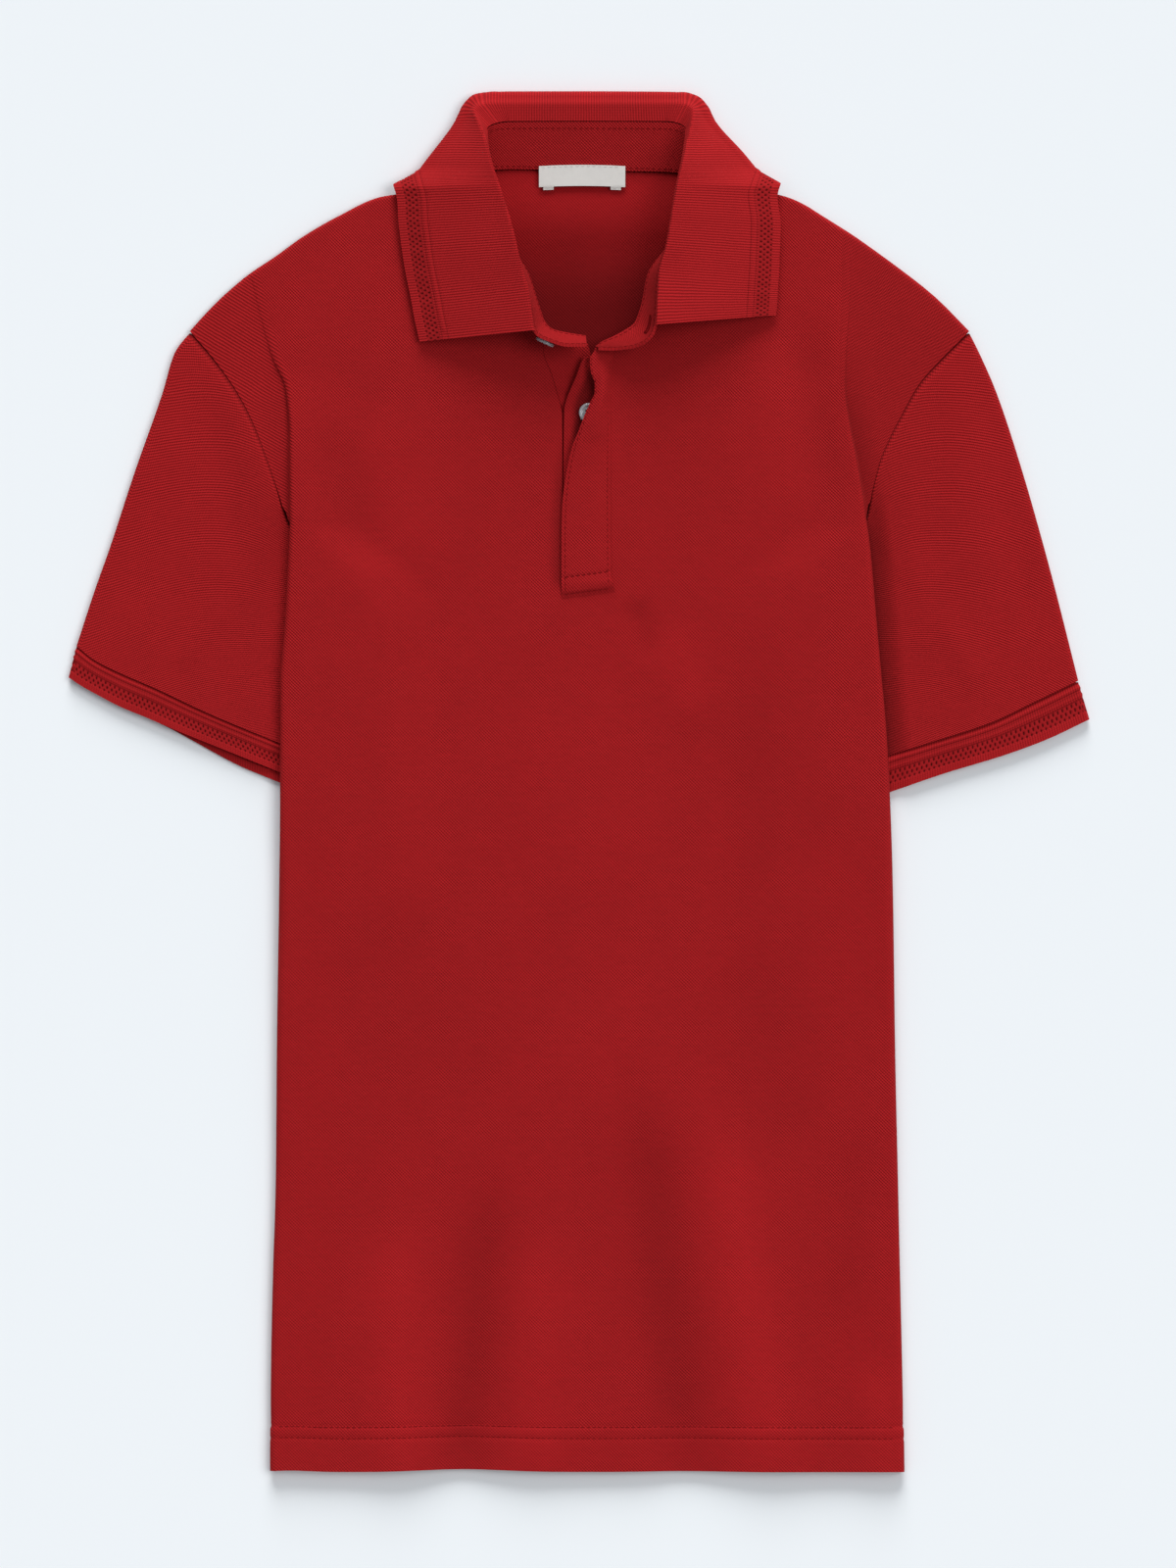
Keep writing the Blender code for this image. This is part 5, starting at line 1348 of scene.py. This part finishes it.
def thread(name, colour):
    """Sewing thread with a fine twist."""
    graph = Graph(name)
    twist = graph.noise(3800, 2)
    return graph.finish(colour, twist * 0.3 + 0.82, (twist, 0.00005), 0.8, tint=SHEEN_TINT,
                        specular=0.05)


def ground(name, colour):
    """Pale matt studio surface."""
    graph = Graph(name)
    return graph.finish(colour, graph.noise(3, 2) * 0.004 + 0.998, None, 0.95, specular=0.0)


CLOTH = {
    "pique": pique("body_pique", RED),
    "front": pique("front_pique", RED, toned=True),
    "sleeve": pique("sleeve_pique", RED, contrast=0.6, seam=True, toned=True),
    "inside": pique("inside_pique", RED_INSIDE, 0.0002, 0.3, shaded=True),
    "collar": rib("collar_rib", RED_RIB, LEAF_BAND, LEAF_RIDGES),
    "cuff": rib("cuff_rib", RED, CUFF_BAND, CUFF_RIDGES),
    "label": satin("label_satin_weave", (0.64, 0.62, 0.588)),
    "resin": resin("smoky_resin"),
    "thread": thread("red_thread", (0.17, 0.004, 0.005)),
    "label_thread": thread("pale_thread", (0.55, 0.52, 0.5)),
}

# --- assembly
STAND_FOR = {
    "front_panel": "front", "back_panel": "back", "sleeve_cloth_left": "sleeve_left",
    "sleeve_cloth_right": "sleeve_right", "cuff_rib_left": "cuff_left",
    "cuff_rib_right": "cuff_right", "collar_leaf_rib": "collar_leaf",
    "collar_stand_cloth": "collar_stand", "placket_cover_cloth": "placket_cover",
    "placket_fly_cloth": "placket_fly", "placket_under_cloth": "placket_under",
    "neck_label_satin": "neck_label",
}


def build_shirt():
    front, front_points = front_panel()
    back = back_panel()
    pieces = [front, back]
    for name, data in SLEEVES.items():
        pieces.append(sleeve(name, data))
        pieces.append(cuff(name, data))
    stand, stand_points = collar_stand()
    cover, cover_points = strip("placket_cover_cloth", COVER,
                                spread([105.5, 123, 251.5], [30, 78]), COVER_FOOT_RISE,
                                seam=1, lines=BOX_STITCH)
    fly, _ = strip("placket_fly_cloth", FLY, spread([120, 246], [60]), dark=FLY_SHADE)
    under, _ = strip("placket_under_cloth", UNDER, spread([120, 254], [60]), seam=-1)
    label = neck_label()
    pieces += [stand, collar_leaf(), cover, fly, under, label]
    sewn = {
        "front_panel": hem_stitching(front_points),
        "placket_cover_cloth": placket_stitching(cover_points),
        "collar_stand_cloth": stand_stitching(stand_points),
        "neck_label_satin": label_stitching(),
    }
    for item in pieces:
        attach(item, "root")
        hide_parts(STAND_FOR[item.name])
        extra = [sewn[item.name]] if item.name in sewn else []
        if item.name == "collar_stand_cloth":
            extra.append(buttonhole())
        for stitched in extra:
            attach(stitched, "root")
    for node, item in buttons():
        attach(item, "root")
        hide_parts(node)
        sewing = button_thread(item.name + "_thread", item)
        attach(sewing, "root")


# --- surface, light, camera
GROUND = (0.86, 0.895, 0.92)
PICTURE_CENTRE = (0.0052, -0.0014)
PICTURE_HEIGHT = 0.9088          # of the surface that the picture shows
CAMERA_DISTANCE = 8.0
SENSOR = 36.0


def make_ground():
    bpy.ops.mesh.primitive_plane_add(size=30, location=(0, 0, -0.0003))
    item = bpy.context.object
    item.name = "ground"
    item.data.materials.append(ground("pale_surface", GROUND))


def soft_light(name, heading, across, strength):
    """A far, even light from a heading; across is how wide it looks, in degrees."""
    data = bpy.data.lights.new(name, "SUN")
    data.angle = math.radians(across)
    data.energy = strength
    item = bpy.data.objects.new(name, data)
    item.location = Vector(heading).normalized() * 3
    item.rotation_mode = "QUATERNION"
    item.rotation_quaternion = (-Vector(heading)).to_track_quat("-Z", "Y")
    bpy.context.collection.objects.link(item)


def make_light():
    soft_light("overhead", (0.75, 0.15, 1.0), 36, 1.12)
    soft_light("from_the_top", (0.0, 1.0, 0.40), 34, 3.2)
    world = bpy.data.worlds.new("studio")
    world.use_nodes = True
    background = world.node_tree.nodes["Background"]
    background.inputs["Color"].default_value = (0.93, 0.96, 1.0, 1)
    background.inputs["Strength"].default_value = 0.36
    bpy.context.scene.world = world


def make_camera():
    data = bpy.data.cameras.new("camera")
    data.sensor_width = SENSOR
    data.lens = SENSOR * CAMERA_DISTANCE / PICTURE_HEIGHT
    data.clip_end = 3 * CAMERA_DISTANCE
    item = bpy.data.objects.new("camera", data)
    item.location = (*PICTURE_CENTRE, CAMERA_DISTANCE)
    bpy.context.collection.objects.link(item)
    bpy.context.scene.camera = item


bpy.context.scene.view_settings.view_transform = "Standard"
build_shirt()
make_ground()
make_light()
make_camera()
